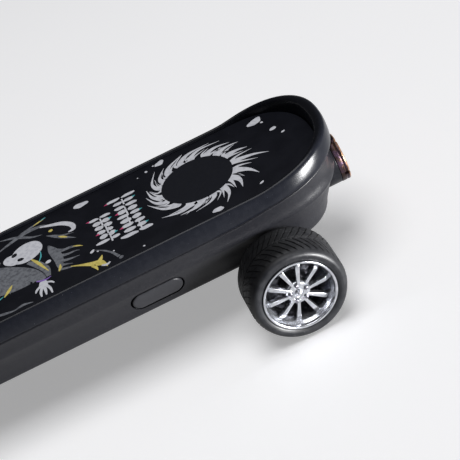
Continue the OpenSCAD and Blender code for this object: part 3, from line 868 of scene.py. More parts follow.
spokes = []
for i in range(PAIRS):
    for way in (-1, 1):
        spokes.append(spoke(math.radians(360 / PAIRS * i + way * SPLIT)))
for angle in NUT_ANGLES:
    seat = AXLE + from_axle(angle) * NUT_RING
    deep, proud = (seat - Vector((0, HUB_FACE + y, 0)) for y in (-NUT_SEAT_DEPTH, 1))
    cut(hub, rod("nut_seat", NUT_SEAT_R, deep, proud, 24))
# The web sits deep in the barrel, so it takes the rim's painted shade and looks near black.
web = turned("web", soft_profile([
    (2.4, MID_Y + 0.5), (3.4, MID_Y + 0.9), (5.0, MID_Y + 0.3), (6.3, MID_Y + 0.1),
    (6.3, MID_Y - 0.6), (5.0, MID_Y - 0.4), (3.4, MID_Y + 0.2), (2.4, MID_Y - 0.2)], 0.3, 3),
    AXLE, OUTWARD, 96)
rim = join("rim_tail_left", [rim, hub, web] + spokes)
done(rim, 40)
wear(PLATE, rim)
print("rim:", len(rim.data.polygons), "faces,", len(spokes), "spokes")

# %% [markdown]
# ## Lug nuts and hub cap
# A nut is a six-sided bar with a rounded top: the outer face of a six-sided
# cylinder is inset and raised, and its edges are bevelled. The cap is turned,
# with a groove round its crown.

# %% Lug nuts and hub cap
NUT_R, NUT_H = 0.42, 0.75


def nut(angle):
    """A lug nut in its seat, at an angle from straight up."""
    at = AXLE + from_axle(angle) * NUT_RING + Vector((0, -HUB_FACE, 0)) + Vector((0, 0.02, 0))
    only()
    bpy.ops.mesh.primitive_cylinder_add(
        vertices=6, radius=NUT_R * MM, depth=NUT_H * MM, location=at * MM, rotation=(math.pi / 2, angle, 0))
    piece = put_down(named("nut"))
    pick(piece, "FACE", lambda face: face.normal.y < -0.9)
    bpy.ops.mesh.inset(thickness=0.13 * MM, depth=0.10 * MM)
    only(piece)
    bevel(piece, 0.05, 2)
    return piece


nuts = join("lug_nuts_tail_left", [nut(angle) for angle in NUT_ANGLES])
done(nuts, 35)
wear(NUT_STEEL, nuts)
cap = turned("hub_cap_tail_left", soft_profile([
    (0, HUB_FACE - 0.6), (0.38, HUB_FACE - 0.6), (0.40, HUB_FACE + 0.02), (0.84, HUB_FACE + 0.02),
    (0.84, HUB_FACE + 0.22), (0.70, HUB_FACE + 0.36), (0.62, HUB_FACE + 0.30), (0.54, HUB_FACE + 0.48),
    (0.28, HUB_FACE + 0.62), (0, HUB_FACE + 0.66)], 0.06, 3), AXLE, OUTWARD, 48)
done(cap, 35)
wear(PLATE, cap)
print("nuts:", len(nuts.data.polygons), "faces; cap:", len(cap.data.polygons), "faces")

# %% [markdown]
# ## Four wheels
# All four wheels are copies of the pieces above, with meshes of their own. A
# copy moves along the deck for the nose, and turns half a turn about the deck's
# long line for the right side, which keeps its faces the right way out.

# %% Four wheels
half_turn = (
    Matrix.Translation(mm(0, 0, AXLE.z)) @ Matrix.Rotation(math.pi, 4, "X")
    @ Matrix.Translation(mm(0, 0, -AXLE.z)))
SLOTS = {"tyre": "tyre", "rim": "bright_rim", "lug_nuts": "stamped_steel", "hub_cap": "bright_rim"}
for end, hand in (("tail", "left"), ("tail", "right"), ("nose", "left"), ("nose", "right")):
    for kind, pattern in (("tyre", tyre), ("rim", rim), ("lug_nuts", nuts), ("hub_cap", cap)):
        node = f"{kind}_{end}_{hand}"
        twin = copy_of(pattern, f"{kind}_piece_{end}_{hand}")
        if hand == "right":
            twin.data.transform(half_turn)
        if end == "nose":
            twin.data.transform(Matrix.Translation(mm(-2 * AXLE_U, 0, 0)))
        fit(twin, f"wheel_{end}_{hand}", SLOTS[kind], node)
for pattern in (tyre, rim, nuts, cap):
    bpy.data.objects.remove(pattern)
print("four wheels stand on their axles")

# %% [markdown]
# ## Power button
# A pill that stands proud of the leaning flank, with a wider flange behind it
# that keeps it in. The front is moulded softly: its rim is rounded and its
# middle is very slightly crowned.

# %% Power button
FLANK_TILT = math.radians(19.5)
FACE_Y = 14.45
FLANGE_Y, FLANGE_T = -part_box("power_button")[1].y / MM, 0.7
BUTTON_L, BUTTON_H = 10.8, 4.0
FLANGE_L, FLANGE_H = BUTTON_L + 2.0, BUTTON_H + 0.5


def pill_ring(length, height, count=72):
    """Points round a pill shape, as (along, up)."""
    points = []
    for i in range(count):
        a = 2 * math.pi * i / count
        points.append((math.copysign((length - height) / 2, math.cos(a)) + height / 2 * math.cos(a),
                       height / 2 * math.sin(a)))
    return points


def button_ring(inset, proud, length=BUTTON_L, height=BUTTON_H, level=None):
    """A ring of the button, on the tilted face unless a level is given."""
    ring_points = []
    for along, up in pill_ring(length - 2 * inset, height - 2 * inset):
        y = -(FACE_Y + up * math.tan(FLANK_TILT) + proud) if level is None else -level
        ring_points.append(mm(DECK_X + BUTTON_U + along, y, PANEL_Z + BUTTON_Z + up))
    return ring_points


FRONT = (
    (0.0, -0.42), (0.02, -0.28), (0.08, -0.16), (0.18, -0.07),
    (0.34, -0.02), (0.7, -0.005), (1.2, 0.0), (1.6, 0.0))
button = ring_stack("button_piece", [
    button_ring(0, 0, FLANGE_L, FLANGE_H, FLANGE_Y),
    button_ring(0, 0, FLANGE_L, FLANGE_H, FLANGE_Y + FLANGE_T),
    button_ring(0, 0, BUTTON_L + 0.02, BUTTON_H, FLANGE_Y + FLANGE_T),
    *(button_ring(inset, proud) for inset, proud in FRONT)])


def button_black():
    f = Finish("button_black", IOR=1.5, Specular_IOR_Level=0.26)
    where = f.place()
    waves = f.noise(where, 0.6, 2.0)
    grain = f.noise(where, 9.0, 3.0, 0.6)
    tint = f.mix(waves, (0.0070, 0.0072, 0.0088), (0.0130, 0.0132, 0.0155))
    return f.set(
        Base_Color=dusted(f, tint, scale=1.9),
        Roughness=f.step(waves, 0.3, 0.7, 0.34, 0.42) + grain * 0.05,
        Normal=f.bump(grain, 0.01, 0.4),
    )


ready(button, 50, button_black(), "button", "button", "power_button")
print("button:", len(button.data.polygons), "faces")

# %% [markdown]
# ## Connector
# Turned pieces one inside the other: a black sleeve let into the end of the
# shell, a dark bronze barrel with its slotted collar, a pale insulator and a
# gilt pin. The thread inside the collar is a real one: a small triangle is
# screwed along the axis, half a millimetre a turn.

# %% Connector
COLLAR_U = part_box("connector_barrel")[1].x / MM - DECK_X
AXIS_X = Vector((1, 0, 0))
AT = Vector((DECK_X, 0, PANEL_Z + CONNECTOR_Z))
BORE_R, BARREL_R, NECK_R, BACK_R = 3.25, 4.15, 3.1, 2.61
BORE_BACK, BARREL_BACK, SLEEVE_WALL = COLLAR_U - 4.8, 51.5, 1.0
COLLAR_BACK, GAP = COLLAR_U - 1.9, 0.06
ROOT_R = BORE_R + 0.20
SLOT_W, SLOT_TURN = 0.9, 17
THREAD_PITCH, THREAD_TURNS, THREAD_H, THREAD_HALF = 0.5, 8, 0.24, 0.16

sleeve = turned("sleeve_piece", soft_profile([
    (NECK_R + GAP, SLEEVE_U), (COLLAR_R - GAP, SLEEVE_U), (COLLAR_R - GAP, COLLAR_BACK - 0.12),
    (COLLAR_R - 0.22, COLLAR_BACK - 0.03), (BARREL_R + GAP, COLLAR_BACK - 0.03),
    (BARREL_R + GAP, SLEEVE_U + SLEEVE_WALL), (NECK_R + GAP, SLEEVE_U + SLEEVE_WALL)], 0.06, 3),
    AT, AXIS_X, 96)
barrel_piece = turned("barrel_piece", soft_profile([
    (BACK_R, BARREL_BACK), (NECK_R, BARREL_BACK), (NECK_R, SLEEVE_U + SLEEVE_WALL + GAP),
    (BARREL_R, SLEEVE_U + SLEEVE_WALL + GAP), (BARREL_R, COLLAR_BACK + 0.02), (COLLAR_R, COLLAR_BACK + 0.02),
    (COLLAR_R, COLLAR_U - 0.95), (COLLAR_R - 0.10, COLLAR_U - 0.85), (COLLAR_R - 0.10, COLLAR_U - 0.72),
    (COLLAR_R, COLLAR_U - 0.62), (COLLAR_R, COLLAR_U - 0.22), (COLLAR_R - 0.22, COLLAR_U),
    (BORE_R + 0.42, COLLAR_U), (ROOT_R, COLLAR_U - 0.3), (ROOT_R, BORE_BACK), (BACK_R, BORE_BACK)], 0.05, 2),
    AT, AXIS_X, 120)
for quarter in range(4):
    only()
    bpy.ops.mesh.primitive_cube_add(size=1, scale=mm(2.4, SLOT_W, 4))
    key = put_down(named("slot_key"))
    key.data.transform(Matrix.Translation(mm(COLLAR_U, 0, 4.2)))
    key.data.transform(Matrix.Rotation(math.radians(90 * quarter + SLOT_TURN), 4, "X"))
    key.data.transform(Matrix.Translation(AT * MM))
    cut(barrel_piece, key)

only()
bpy.ops.mesh.primitive_circle_add(vertices=3, radius=1)
thread = named("thread")
triangle = ((BORE_R, 0.0), (BORE_R + THREAD_H, THREAD_HALF), (BORE_R + THREAD_H, -THREAD_HALF))
for vertex, (radius, along) in zip(thread.data.vertices, triangle):
    vertex.co = mm(radius, 0, along)
edit(thread, "FACE")
bpy.ops.mesh.edge_face_add()
only(thread)
modify(thread, "SCREW", axis="Z", screw_offset=THREAD_PITCH * MM, iterations=THREAD_TURNS,
       steps=48, render_steps=48, use_smooth_shade=True)
edit(thread, "EDGE")
bpy.ops.mesh.fill_holes(sides=4)
outwards(thread)
thread.data.transform(Matrix.Rotation(math.pi / 2, 4, "Y"))
thread.data.transform(Matrix.Translation((AT + Vector((BORE_BACK + 0.25, 0, 0))) * MM))
barrel_piece = join("barrel_piece", [barrel_piece, thread])
FACE_U, INSULATOR_BACK = BORE_BACK - 0.4, 52.0
INSULATOR_R, PIN_HOLE_R = 2.54, 1.06
insulator = turned("insulator_piece", soft_profile([
    (PIN_HOLE_R, INSULATOR_BACK), (INSULATOR_R, INSULATOR_BACK), (INSULATOR_R, FACE_U),
    (PIN_HOLE_R + 0.29, FACE_U), (PIN_HOLE_R, FACE_U - 0.2)], 0.08, 2), AT, AXIS_X, 64)
pin_low, pin_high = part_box("center_pin")
PIN_FRONT, PIN_BACK = pin_high.x / MM - DECK_X, pin_low.x / MM - DECK_X
PIN_R, PIN_FLANGE_R = 1.0, 1.53
pin = turned("pin_piece", soft_profile([
    (0, PIN_BACK), (PIN_FLANGE_R, PIN_BACK), (PIN_FLANGE_R, PIN_BACK + 0.97), (PIN_R, PIN_BACK + 1.0),
    (PIN_R, PIN_FRONT - 0.3),
    (0.75, PIN_FRONT - 0.06), (0.3, PIN_FRONT), (0, PIN_FRONT)], 0.06, 3), AT, AXIS_X, 48)
print("connector: collar ends at", round(COLLAR_U, 2), "mm, pin at", round(PIN_FRONT, 2), "mm")

# %% [markdown]
# The barrel's bronze has been darkened by heat and handling: the brown drifts
# to purple in patches, and bare copper shows on the outermost edge, where the
# darkening has worn off. The gilt pin is plain bright metal.

# %% Finishes of the connector
def dark_bronze():
    f = Finish("dark_bronze", IOR=1.6)
    where = f.place()
    patch = f.noise(where, 0.55, 4.0, 0.6, 0.8)
    fine = f.noise(where, 4.0, 4.0, 0.65)
    x = f.axes(f.place(move=tuple(AT + Vector((COLLAR_U, 0, 0)))))[0]
    rubbed = f.step(x + (fine - 0.5) * 0.35, -0.34, -0.16)
    brown = f.mix(f.step(patch, 0.40, 0.62), (0.034, 0.022, 0.018), (0.056, 0.034, 0.056))
    brown = f.mix(f.step(fine, 0.58, 0.68) * 0.5, brown, (0.20, 0.10, 0.06))
    return f.set(
        Base_Color=f.mix(rubbed * 0.7, brown, (0.50, 0.29, 0.17)),
        Metallic=f.step(patch, 0.2, 0.8, 1.0, 0.9),
        Roughness=f.step(fine, 0.3, 0.7, 0.26, 0.42),
        Normal=f.bump(fine, 0.012, 0.5),
    )


def soft_plastic(name, dark, light, rough, level=0.4):
    """A plain moulded or coated finish: slow colour drift over a fine grain."""
    f = Finish(name, IOR=1.48, Specular_IOR_Level=level)
    where = f.place()
    cloud = f.noise(where, 0.8, 3.0)
    grain = f.noise(where, 7.0, 3.0, 0.6)
    return f.set(
        Base_Color=f.mix(f.step(cloud, 0.3, 0.7), dark, light),
        Roughness=grain * 0.12 + (rough - 0.06),
        Normal=f.bump(grain, 0.012, 0.5),
    )


SLEEVE_BLACK = soft_plastic("sleeve_black", (0.0035, 0.0037, 0.0046), (0.0060, 0.0062, 0.0075), 0.24, 0.09)
INSULATOR_WHITE = soft_plastic("insulator_white", (0.62, 0.60, 0.54), (0.74, 0.72, 0.66), 0.45)
GILT = dull_steel("gilt", (0.86, 0.63, 0.25), 0.20)
ready(sleeve, 35, SLEEVE_BLACK, "chassis", "black_plastic", "connector_sleeve")
ready(barrel_piece, 35, dark_bronze(), "chassis", "dark_bronze", "connector_barrel")
ready(insulator, 35, INSULATOR_WHITE, "chassis", "insulator", "connector_insulator")
ready(pin, 35, GILT, "contact_pin", "gold_plate", "center_pin")
print("connector finished")

# %% [markdown]
# ## Printed panel
# A thin plate with the deck's outline: two rings and a small bevel round its
# upper edge. Its skin is a matt charcoal lacquer with a fine sparkle.

# %% Printed panel
PANEL_HALF = (panel_high.y - panel_low.y) / 2 / MM
PANEL_TIP = (panel_high.x - panel_low.x) / 2 / MM
PANEL_IN, PANEL_TIP_IN = HALF - PANEL_HALF, TIP - PANEL_TIP
panel = ring_stack("panel_plate", [
    ring(PANEL_IN, PANEL_TIP_IN, -0.30), ring(PANEL_IN, PANEL_TIP_IN, -0.06),
    ring(PANEL_IN + 0.02, PANEL_TIP_IN + 0.02, -0.02), ring(PANEL_IN + 0.07, PANEL_TIP_IN + 0.07, 0.0)])


def charcoal():
    f = Finish("charcoal", IOR=1.45, Specular_IOR_Level=0.10)
    where = f.place()
    cloud = f.noise(where, 0.25, 3.0)
    grain = f.noise(where, 10.0, 3.0, 0.6)
    tint = f.mix(f.step(cloud, 0.3, 0.7), (0.0060, 0.0066, 0.0098), (0.0090, 0.0097, 0.0138))
    tint = f.mix(f.step(grain, 0.60, 0.72) * 0.5, tint, (0.035, 0.036, 0.042))
    return f.set(
        Base_Color=dusted(f, tint, scale=1.3, share=0.10),
        Roughness=grain * 0.15 + 0.42,
        Normal=f.bump(grain, 0.012, 0.5),
    )


ready(panel, 30, charcoal(), "chassis", "printed_panel", "art_panel")
print("panel:", len(panel.data.polygons), "faces")

# %% [markdown]
# ## Ink
# The print is a skin of ink, a few hundredths of a millimetre thick, so every
# mark is a thin closed solid that lies on the panel. A stroke is a strip of
# faces laid along a smooth path, with its own width at each point; a blot is a
# disc with a wandering edge. Marks of one colour are joined and then thickened.

# %% Ink
INK = 0.02
PATH_STEPS = 6


def smooth_path(points):
    """A smooth line through a few points; each point may carry more numbers."""
    result = []
    for i in range(len(points) - 1):
        a, b = points[max(i - 1, 0)], points[i]
        c, d = points[i + 1], points[min(i + 2, len(points) - 1)]
        for k in range(PATH_STEPS + (i == len(points) - 2)):
            t = k / PATH_STEPS
            result.append(tuple(
                0.5 * (2 * q + (r - p) * t + (2 * p - 5 * q + 4 * r - s) * t * t
                       + (3 * q - p - 3 * r + s) * t ** 3)
                for p, q, r, s in zip(a, b, c, d)))
    return result


def lift(u, y, level):
    """A point at a level over the panel."""
    return mm(DECK_X + u, y, PANEL_Z + level)


def stroke(points, level):
    """A brush stroke through (u, y, width) points."""
    path = smooth_path(points)
    count = len(path)
    only()
    bpy.ops.mesh.primitive_grid_add(x_subdivisions=count - 1, y_subdivisions=1, size=1)
    mark = named("mark")
    for vertex in mark.data.vertices:
        i = round((vertex.co.x + 0.5) * (count - 1))
        u, y, width = path[i]
        before, after = path[max(i - 1, 0)], path[min(i + 1, count - 1)]
        du, dy = after[0] - before[0], after[1] - before[1]
        span = max(math.hypot(du, dy), 0.0001)
        half = math.copysign(max(width, 0.03) / 2, vertex.co.y)
        vertex.co = lift(u - dy / span * half, y + du / span * half, level)
    return mark


def blot(u, y, radius, stretch=1.0, turn_by=0.0, level=0.0, rough=0.12, count=28):
    """A round drop of ink whose edge wanders a little."""
    only()
    bpy.ops.mesh.primitive_circle_add(vertices=count, radius=1, fill_type="NGON")
    mark = named("mark")
    phase = [random.uniform(0, 6.28) for _ in range(3)]
    for vertex in mark.data.vertices:
        a = math.atan2(vertex.co.y, vertex.co.x)
        wander = 1 + rough * sum(math.sin(k * a + p) / k for k, p in zip((2, 3, 5), phase))
        along, across = radius * stretch * wander * math.cos(a), radius * wander * math.sin(a)
        vertex.co = lift(u + along * math.cos(turn_by) - across * math.sin(turn_by),
                         y + along * math.sin(turn_by) + across * math.cos(turn_by), level)
    return mark


def ink(name, marks, finish, thickness=INK):
    """Joins marks and gives them the thickness of the ink."""
    piece = join(name, marks)
    edit(piece)
    bpy.ops.mesh.normals_make_consistent(inside=False)
    only(piece)
    for face in piece.data.polygons:
        if face.normal.z < 0:
            face.flip()
    modify(piece, "SOLIDIFY", thickness=thickness * MM, offset=1.0)
    ready(piece, 30, finish, "chassis", "printed_panel")
    return piece


def ink_finish(name, light, dark, rough=0.55):
    """Ink with the mottling of a coarse print screen."""
    f = Finish(name, IOR=1.45, Specular_IOR_Level=0.3)
    where = f.place()
    cloud = f.noise(where, 1.2, 4.0, 0.65)
    grain = f.noise(where, 9.0, 2.0)
    tint = f.mix(f.step(cloud, 0.42, 0.66), light, dark)
    return f.set(Base_Color=tint, Roughness=grain * 0.1 + rough, Normal=f.bump(grain, 0.006, 0.4))


WHITE_INK = ink_finish("white_ink", (0.70, 0.71, 0.75), (0.55, 0.56, 0.61))
GREY_INK = ink_finish("grey_ink", (0.19, 0.20, 0.22), (0.10, 0.105, 0.12))
YELLOW_INK = ink_finish("yellow_ink", (0.72, 0.60, 0.16), (0.55, 0.46, 0.12))
BLACK_INK = ink_finish("black_ink", (0.0045, 0.0055, 0.0095), (0.0060, 0.0070, 0.0115), 0.5)
VIOLET_INK = ink_finish("violet_ink", (0.30, 0.17, 0.55), (0.22, 0.13, 0.42))
TEAL_INK = ink_finish("teal_ink", (0.10, 0.50, 0.52), (0.07, 0.36, 0.40))
ROSE_INK = ink_finish("rose_ink", (0.70, 0.08, 0.22), (0.50, 0.06, 0.16))
random.seed(11)
print("seven inks are mixed")

# %% [markdown]
# ### The burst
# A dark disc inside a ring of pale tongues, like a stone dropped in water.
# The tongues all lean the same way round, and the longest point to the tail.
# Each is one tapering stroke with a thinner one on either side of it.

# %% The burst
SUN_U, SUN_Y, SUN_R = 33.2, 0.85, 7.6


def polar(angle, radius):
    a = math.radians(angle)
    return SUN_U + radius * math.cos(a), SUN_Y + radius * math.sin(a)


marks = []
TONGUES = 18
for k in range(TONGUES):
    angle = k * 360 / TONGUES + random.uniform(-4, 4)
    tailwards = max(0.0, math.cos(math.radians(angle + 4)))
    reach = random.uniform(2.8, 4.9) + tailwards ** 2 * random.uniform(1.4, 4.0)
    lean = random.uniform(24, 38) * (1 - 0.72 * tailwards)
    width = random.uniform(1.1, 1.8)
    marks.append(stroke([
        (*polar(angle, SUN_R - 0.6), width * 1.3),
        (*polar(angle - lean * 0.05, SUN_R + reach * 0.25), width * 0.9),
        (*polar(angle - lean * 0.40, SUN_R + reach * 0.62), width * 0.45),
        (*polar(angle - lean, SUN_R + reach), 0.06)], 0.004))
    for side in (-1, 1):
        tip = random.uniform(0.45, 0.85)
        spread = side * random.uniform(7, 13)
        marks.append(stroke([
            (*polar(angle + spread * 0.2, SUN_R - 0.4), width * 0.6),
            (*polar(angle + spread * 0.8, SUN_R + reach * tip * 0.35), width * 0.36),
            (*polar(angle + spread - lean * 0.6 * tip, SUN_R + reach * tip), 0.05)], 0.006))
marks += [
    blot(49.2, 11.2, 1.15, 1.3, 0.5, rough=0.3), blot(50.4, 9.8, 0.3), blot(51.6, 5.7, 0.50, 1.6, 0.3),
    blot(53.0, 3.0, 0.26, 1.8, 0.3), blot(28.1, 13.0, 0.70, 1.7, 0.2, rough=0.3), blot(26.7, 13.1, 0.22),
    blot(24.9, 12.2, 0.32), blot(22.8, 11.4, 0.16), blot(43.9, -10.7, 0.28, 2.0, 0.5),
    blot(33.9, -12.6, 0.80, 1.35, 0.1, rough=0.25), blot(18.0, -12.6, 0.24), blot(12.3, -9.4, 0.2),
    blot(10.0, 11.8, 0.85, 1.9, 0.1, rough=0.25)]
burst = ink("print_burst", marks, WHITE_INK, 0.018)
ink("print_disc", [blot(SUN_U, SUN_Y, SUN_R, rough=0.006, count=96)], BLACK_INK, 0.030)
print("burst:", len(burst.data.polygons), "faces")

# %% [markdown]
# ### The broken bars
# Two rows of chopped, tapering bars stand across the panel beside the burst.
# They are a pattern and spell nothing: each bar is a stroke of a random
# length, cut through by a slanting gap, with coloured ends here and there.

# %% The broken bars
GAP_SLOPE, GAP_HALF = 0.10, 0.16


def broken_row(u0, y0, length, bars, half):
    """A row of bars between y0 - half and y0 + half, as white, rose and teal marks."""
    white, rose, teal = [], [], []
    for k in range(bars):
        y = y0 + half - 2 * half * (k + 0.5) / bars
        lean = random.uniform(-0.25, 0.25)
        thick = 2 * half / bars * random.uniform(0.50, 0.82)
        gap = u0 + length * (0.5 + GAP_SLOPE * (k / (bars - 1) - 0.5)) + 0.1
        start = u0 + random.uniform(0, 0.5)
        stop = u0 + length - random.uniform(0, 0.5)
        if k in (0, bars - 1):
            start, stop = start - 0.9, stop + 0.7
        for a, b in ((start, gap - GAP_HALF), (gap + GAP_HALF, stop)):
            white.append(stroke([(a, y + lean, thick * 0.35), (a + (b - a) * 0.3, y, thick),
                                 (a + (b - a) * 0.7, y, thick), (b, y - lean, thick * 0.45)], 0.002))
        if k % 2:
            post = u0 + length * random.uniform(0.25, 0.8)
            white.append(stroke([(post, y + thick * 1.1, 0.30), (post, y - thick * 1.1, 0.36)], 0.003))
        if k % 3 == 0:
            tip = (start - 0.5, y + lean * 1.6, 0.05)
            rose.append(stroke([tip, (start + 0.25, y + lean, thick * 0.55)], 0.006))
        if k % 3 == 1:
            tip = (stop + 0.5, y - lean * 1.6, 0.05)
            teal.append(stroke([(stop - 0.2, y - lean, thick * 0.5), tip], 0.006))
    return white, rose, teal


rows = [
    broken_row(u0=15.4, y0=0.4, length=5.3, bars=9, half=8.0),
    broken_row(u0=10.5, y0=-0.4, length=3.8, bars=6, half=5.3)]
INKED = (("print_bars", WHITE_INK), ("print_bar_tips_rose", ROSE_INK), ("print_bar_tips_teal", TEAL_INK))
for (name, finish), first, second in zip(INKED, *rows):
    ink(name, first + second, finish)
print("bars are printed")

# %% [markdown]
# ### The figure
# At the other end of the panel stands a plain motif: a pale oval mask with
# round eyes, brush strokes for a cloak and branches, a splash of yellow and an
# open hand. It is drawn from ovals and strokes alone and depicts nobody.

# %% The figure
random.seed(5)
grey = [
    stroke([(-14.5, 3.2, 4.5), (-10.8, 0.8, 5.6), (-7.6, -1.6, 5.2), (-5.0, -3.8, 4.2), (-3.2, -6.0, 2.6),
            (-2.5, -7.6, 1.5)], 0.001),
    stroke([(-14.5, -2.0, 4.0), (-11.0, -3.8, 4.6), (-8.0, -5.4, 3.2), (-5.0, -6.2, 1.6)], 0.002),
    stroke([(-4.2, 0.6, 0.8), (-2.6, -1.4, 1.8), (-1.3, -4.4, 1.7), (-1.2, -7.2, 0.9)], 0.002),
    stroke([(-14.0, 6.4, 3.0), (-11.4, 5.6, 2.2), (-9.4, 4.8, 0.8)], 0.003),
    stroke([(-10.0, 8.6, 0.1), (-6.4, 10.2, 0.8), (-2.6, 11.4, 1.1), (0.6, 11.2, 0.9),
            (2.2, 10.2, 0.5)], 0.003),
    stroke([(-8.2, 12.9, 0.1), (-4.8, 11.4, 0.8), (-1.8, 8.9, 0.6), (0.6, 7.9, 0.05)], 0.004),
    stroke([(-3.6, 11.6, 0.7), (-1.2, 12.4, 0.6), (1.0, 13.0, 0.4), (2.4, 13.4, 0.05)], 0.004),
    stroke([(1.2, 6.8, 0.1), (2.8, 5.2, 0.9), (4.4, 3.4, 0.8), (6.6, 1.2, 0.05)], 0.003),
    stroke([(3.4, 4.8, 0.5), (5.0, 4.0, 0.4), (6.6, 3.4, 0.05)], 0.004),
    stroke([(0.8, 3.0, 0.3), (1.2, 1.0, 1.7), (1.6, -1.0, 2.1), (1.8, -3.4, 1.9),
            (1.6, -5.4, 1.4), (1.4, -7.2, 0.4)], 0.003),
    stroke([(1.6, 0.4, 1.2), (3.2, -0.9, 0.9), (5.0, -1.2, 0.7), (6.9, -2.4, 0.1)], 0.004),
    stroke([(2.0, -2.2, 1.1), (3.8, -3.0, 0.7), (5.4, -3.1, 0.4), (6.3, -3.6, 0.05)], 0.005),
    stroke([(1.9, -4.2, 1.0), (3.6, -4.9, 0.7), (5.9, -5.3, 0.1)], 0.005),
    stroke([(1.7, -5.6, 0.9), (2.9, -6.2, 0.5), (4.1, -6.9, 0.05)], 0.005),
    stroke([(0.9, -6.8, 0.7), (2.6, -7.5, 0.6), (4.4, -8.2, 0.15)], 0.004),
    stroke([(9.0, -6.2, 0.1), (10.6, -7.8, 0.4), (11.9, -9.8, 0.5), (12.8, -12.0, 0.7)], 0.003),
    stroke([(-14.0, -11.8, 0.5), (-11.8, -12.6, 0.8), (-9.8, -13.0, 0.4), (-7.8, -12.6, 0.7),
            (-5.8, -13.2, 0.1)], 0.003),
    stroke([(-13.6, 3.0, 4.6), (-17.8, 3.9, 2.7), (-20.4, 3.4, 1.2), (-23.5, 2.2, 0.05)], 0.004),
    stroke([(-13.6, -0.6, 4.2), (-18.0, -1.6, 2.2), (-21.0, -1.2, 0.9), (-25.0, 0.2, 0.05)], 0.005),
    stroke([(-13.6, -4.2, 3.0), (-17.4, -5.4, 1.5), (-21.6, -4.6, 0.05)], 0.004),
    stroke([(-13.4, 6.4, 2.6), (-16.4, 7.8, 1.4), (-20.6, 7.4, 0.05)], 0.005),
    stroke([(-14.6, 11.4, 0.1), (-19.0, 10.0, 0.7), (-23.6, 10.8, 0.9), (-27.6, 9.4, 0.4),
            (-30.0, 7.0, 0.05)], 0.003),
    stroke([(-21.4, 10.4, 0.6), (-23.6, 8.4, 0.5), (-26.2, 7.6, 0.05)], 0.004),
    stroke([(-16.8, -11.6, 0.1), (-20.4, -10.2, 0.7), (-24.4, -10.6, 0.6), (-28.0, -8.4, 0.05)], 0.003),
    blot(13.1, -12.6, 0.42, 1.3, 0.9)]
for k in range(9):
    u = -13.6 + k * 1.2
    grey.append(stroke([
        (u, -3.4 - 0.28 * k, 0.12), (u + 0.8, -4.8 - 0.26 * k, 0.5), (u + 0.5, -7.0, 0.08)], 0.007))
white = [
    blot(-3.7, 4.3, 3.15, 1.16, 0.45, 0.010, rough=0.035, count=48),
    blot(-6.8, 3.9, 1.75, 1.25, -0.9, 0.011, rough=0.05),
    stroke([(0.6, 10.9, 0.4), (3.0, 9.7, 0.9), (5.1, 8.5, 1.2), (6.7, 6.5, 1.2), (6.8, 4.7, 0.9),
            (5.6, 4.4, 0.4)], 0.006),
    blot(-0.3, -2.4, 0.5, 1.3, 0.5, 0.010), blot(8.4, -6.2, 0.38, 1.6, 0.9), blot(9.4, -7.0, 0.22),
    stroke([(-2.7, -8.0, 1.3), (-2.8, -9.2, 1.9), (-3.0, -10.3, 1.3)], 0.008),
    stroke([(-3.2, -9.2, 0.7), (-4.3, -10.0, 0.6), (-4.8, -10.9, 0.3)], 0.009),
    stroke([(-3.2, -9.8, 0.7), (-3.8, -11.4, 0.6), (-3.9, -12.9, 0.3)], 0.010),
    stroke([(-2.8, -9.8, 0.7), (-2.8, -11.4, 0.6), (-2.9, -12.9, 0.3)], 0.011),
    stroke([(-2.4, -9.6, 0.7), (-1.8, -11.4, 0.55), (-1.7, -13.2, 0.3)], 0.012),
    stroke([(-2.2, -8.8, 0.6), (-1.2, -9.4, 0.5), (-0.7, -10.2, 0.3)], 0.013),
    stroke([(9.0, -12.2, 0.4), (10.0, -12.7, 0.7), (10.8, -12.3, 0.3)], 0.010),
    blot(-27.4, 4.6, 0.55, 1.6, 0.3), blot(-29.6, 2.6, 0.25), blot(-25.8, -5.8, 0.42, 1.4, 0.6),
    blot(-31.4, -2.2, 0.3), blot(-33.0, 8.6, 0.4, 1.6, 0.2), blot(-18.8, -8.2, 0.3)]
yellow = [
    stroke([(-3.4, 1.4, 0.2), (-2.5, -0.6, 0.7), (-1.8, -2.6, 0.6), (-0.9, -5.4, 0.15)], 0.012),
    stroke([(-10.8, -7.2, 0.2), (-9.6, -5.8, 0.8), (-8.6, -4.4, 0.2)], 0.012),
    stroke([(3.4, -7.6, 0.2), (5.4, -8.9, 0.6), (7.4, -10.2, 1.3), (8.8, -11.0, 1.7), (9.6, -12.2, 0.9),
            (10.0, -13.3, 0.15)], 0.008),
    stroke([(8.0, -11.4, 1.0), (9.2, -10.1, 0.9), (9.9, -8.9, 0.15)], 0.009),
    stroke([(7.4, -10.8, 0.9), (7.9, -12.2, 0.6), (8.0, -13.2, 0.1)], 0.009),
    stroke([(3.4, 4.6, 0.1), (4.2, 3.7, 0.6), (5.0, 2.9, 0.2)], 0.012),
    stroke([(5.2, -1.2, 0.1), (6.2, -1.8, 0.4), (7.2, -2.7, 0.05)], 0.012),
    blot(2.4, 7.9, 0.45), stroke([(-0.6, 12.5, 0.15), (0.6, 12.9, 0.4), (1.8, 13.2, 0.1)], 0.012),
    stroke([(1.0, -7.4, 0.2), (1.4, -6.4, 0.6), (1.7, -5.2, 0.15)], 0.012)]
black = [blot(-6.2, 5.3, 0.55, 1.25, 0.5, 0.030), blot(-5.3, 2.9, 0.55, 1.25, -0.3, 0.030)]
violet = [stroke([(-3.9, -7.1, 0.3), (-2.9, -7.7, 0.5), (-1.8, -7.9, 0.45), (-0.8, -7.6, 0.15)], 0.014)]
teal = [stroke([(-1.0, 2.8, 0.1), (-1.3, 0.6, 0.3), (-2.1, -1.0, 0.1)], 0.014),
        stroke([(1.2, 13.1, 0.1), (1.8, 13.4, 0.25), (2.5, 13.6, 0.08)], 0.014),
        stroke([(-13.4, -7.4, 0.1), (-12.0, -7.3, 0.4), (-10.9, -6.8, 0.1)], 0.014)]
ink("print_strokes", grey, GREY_INK, 0.012)
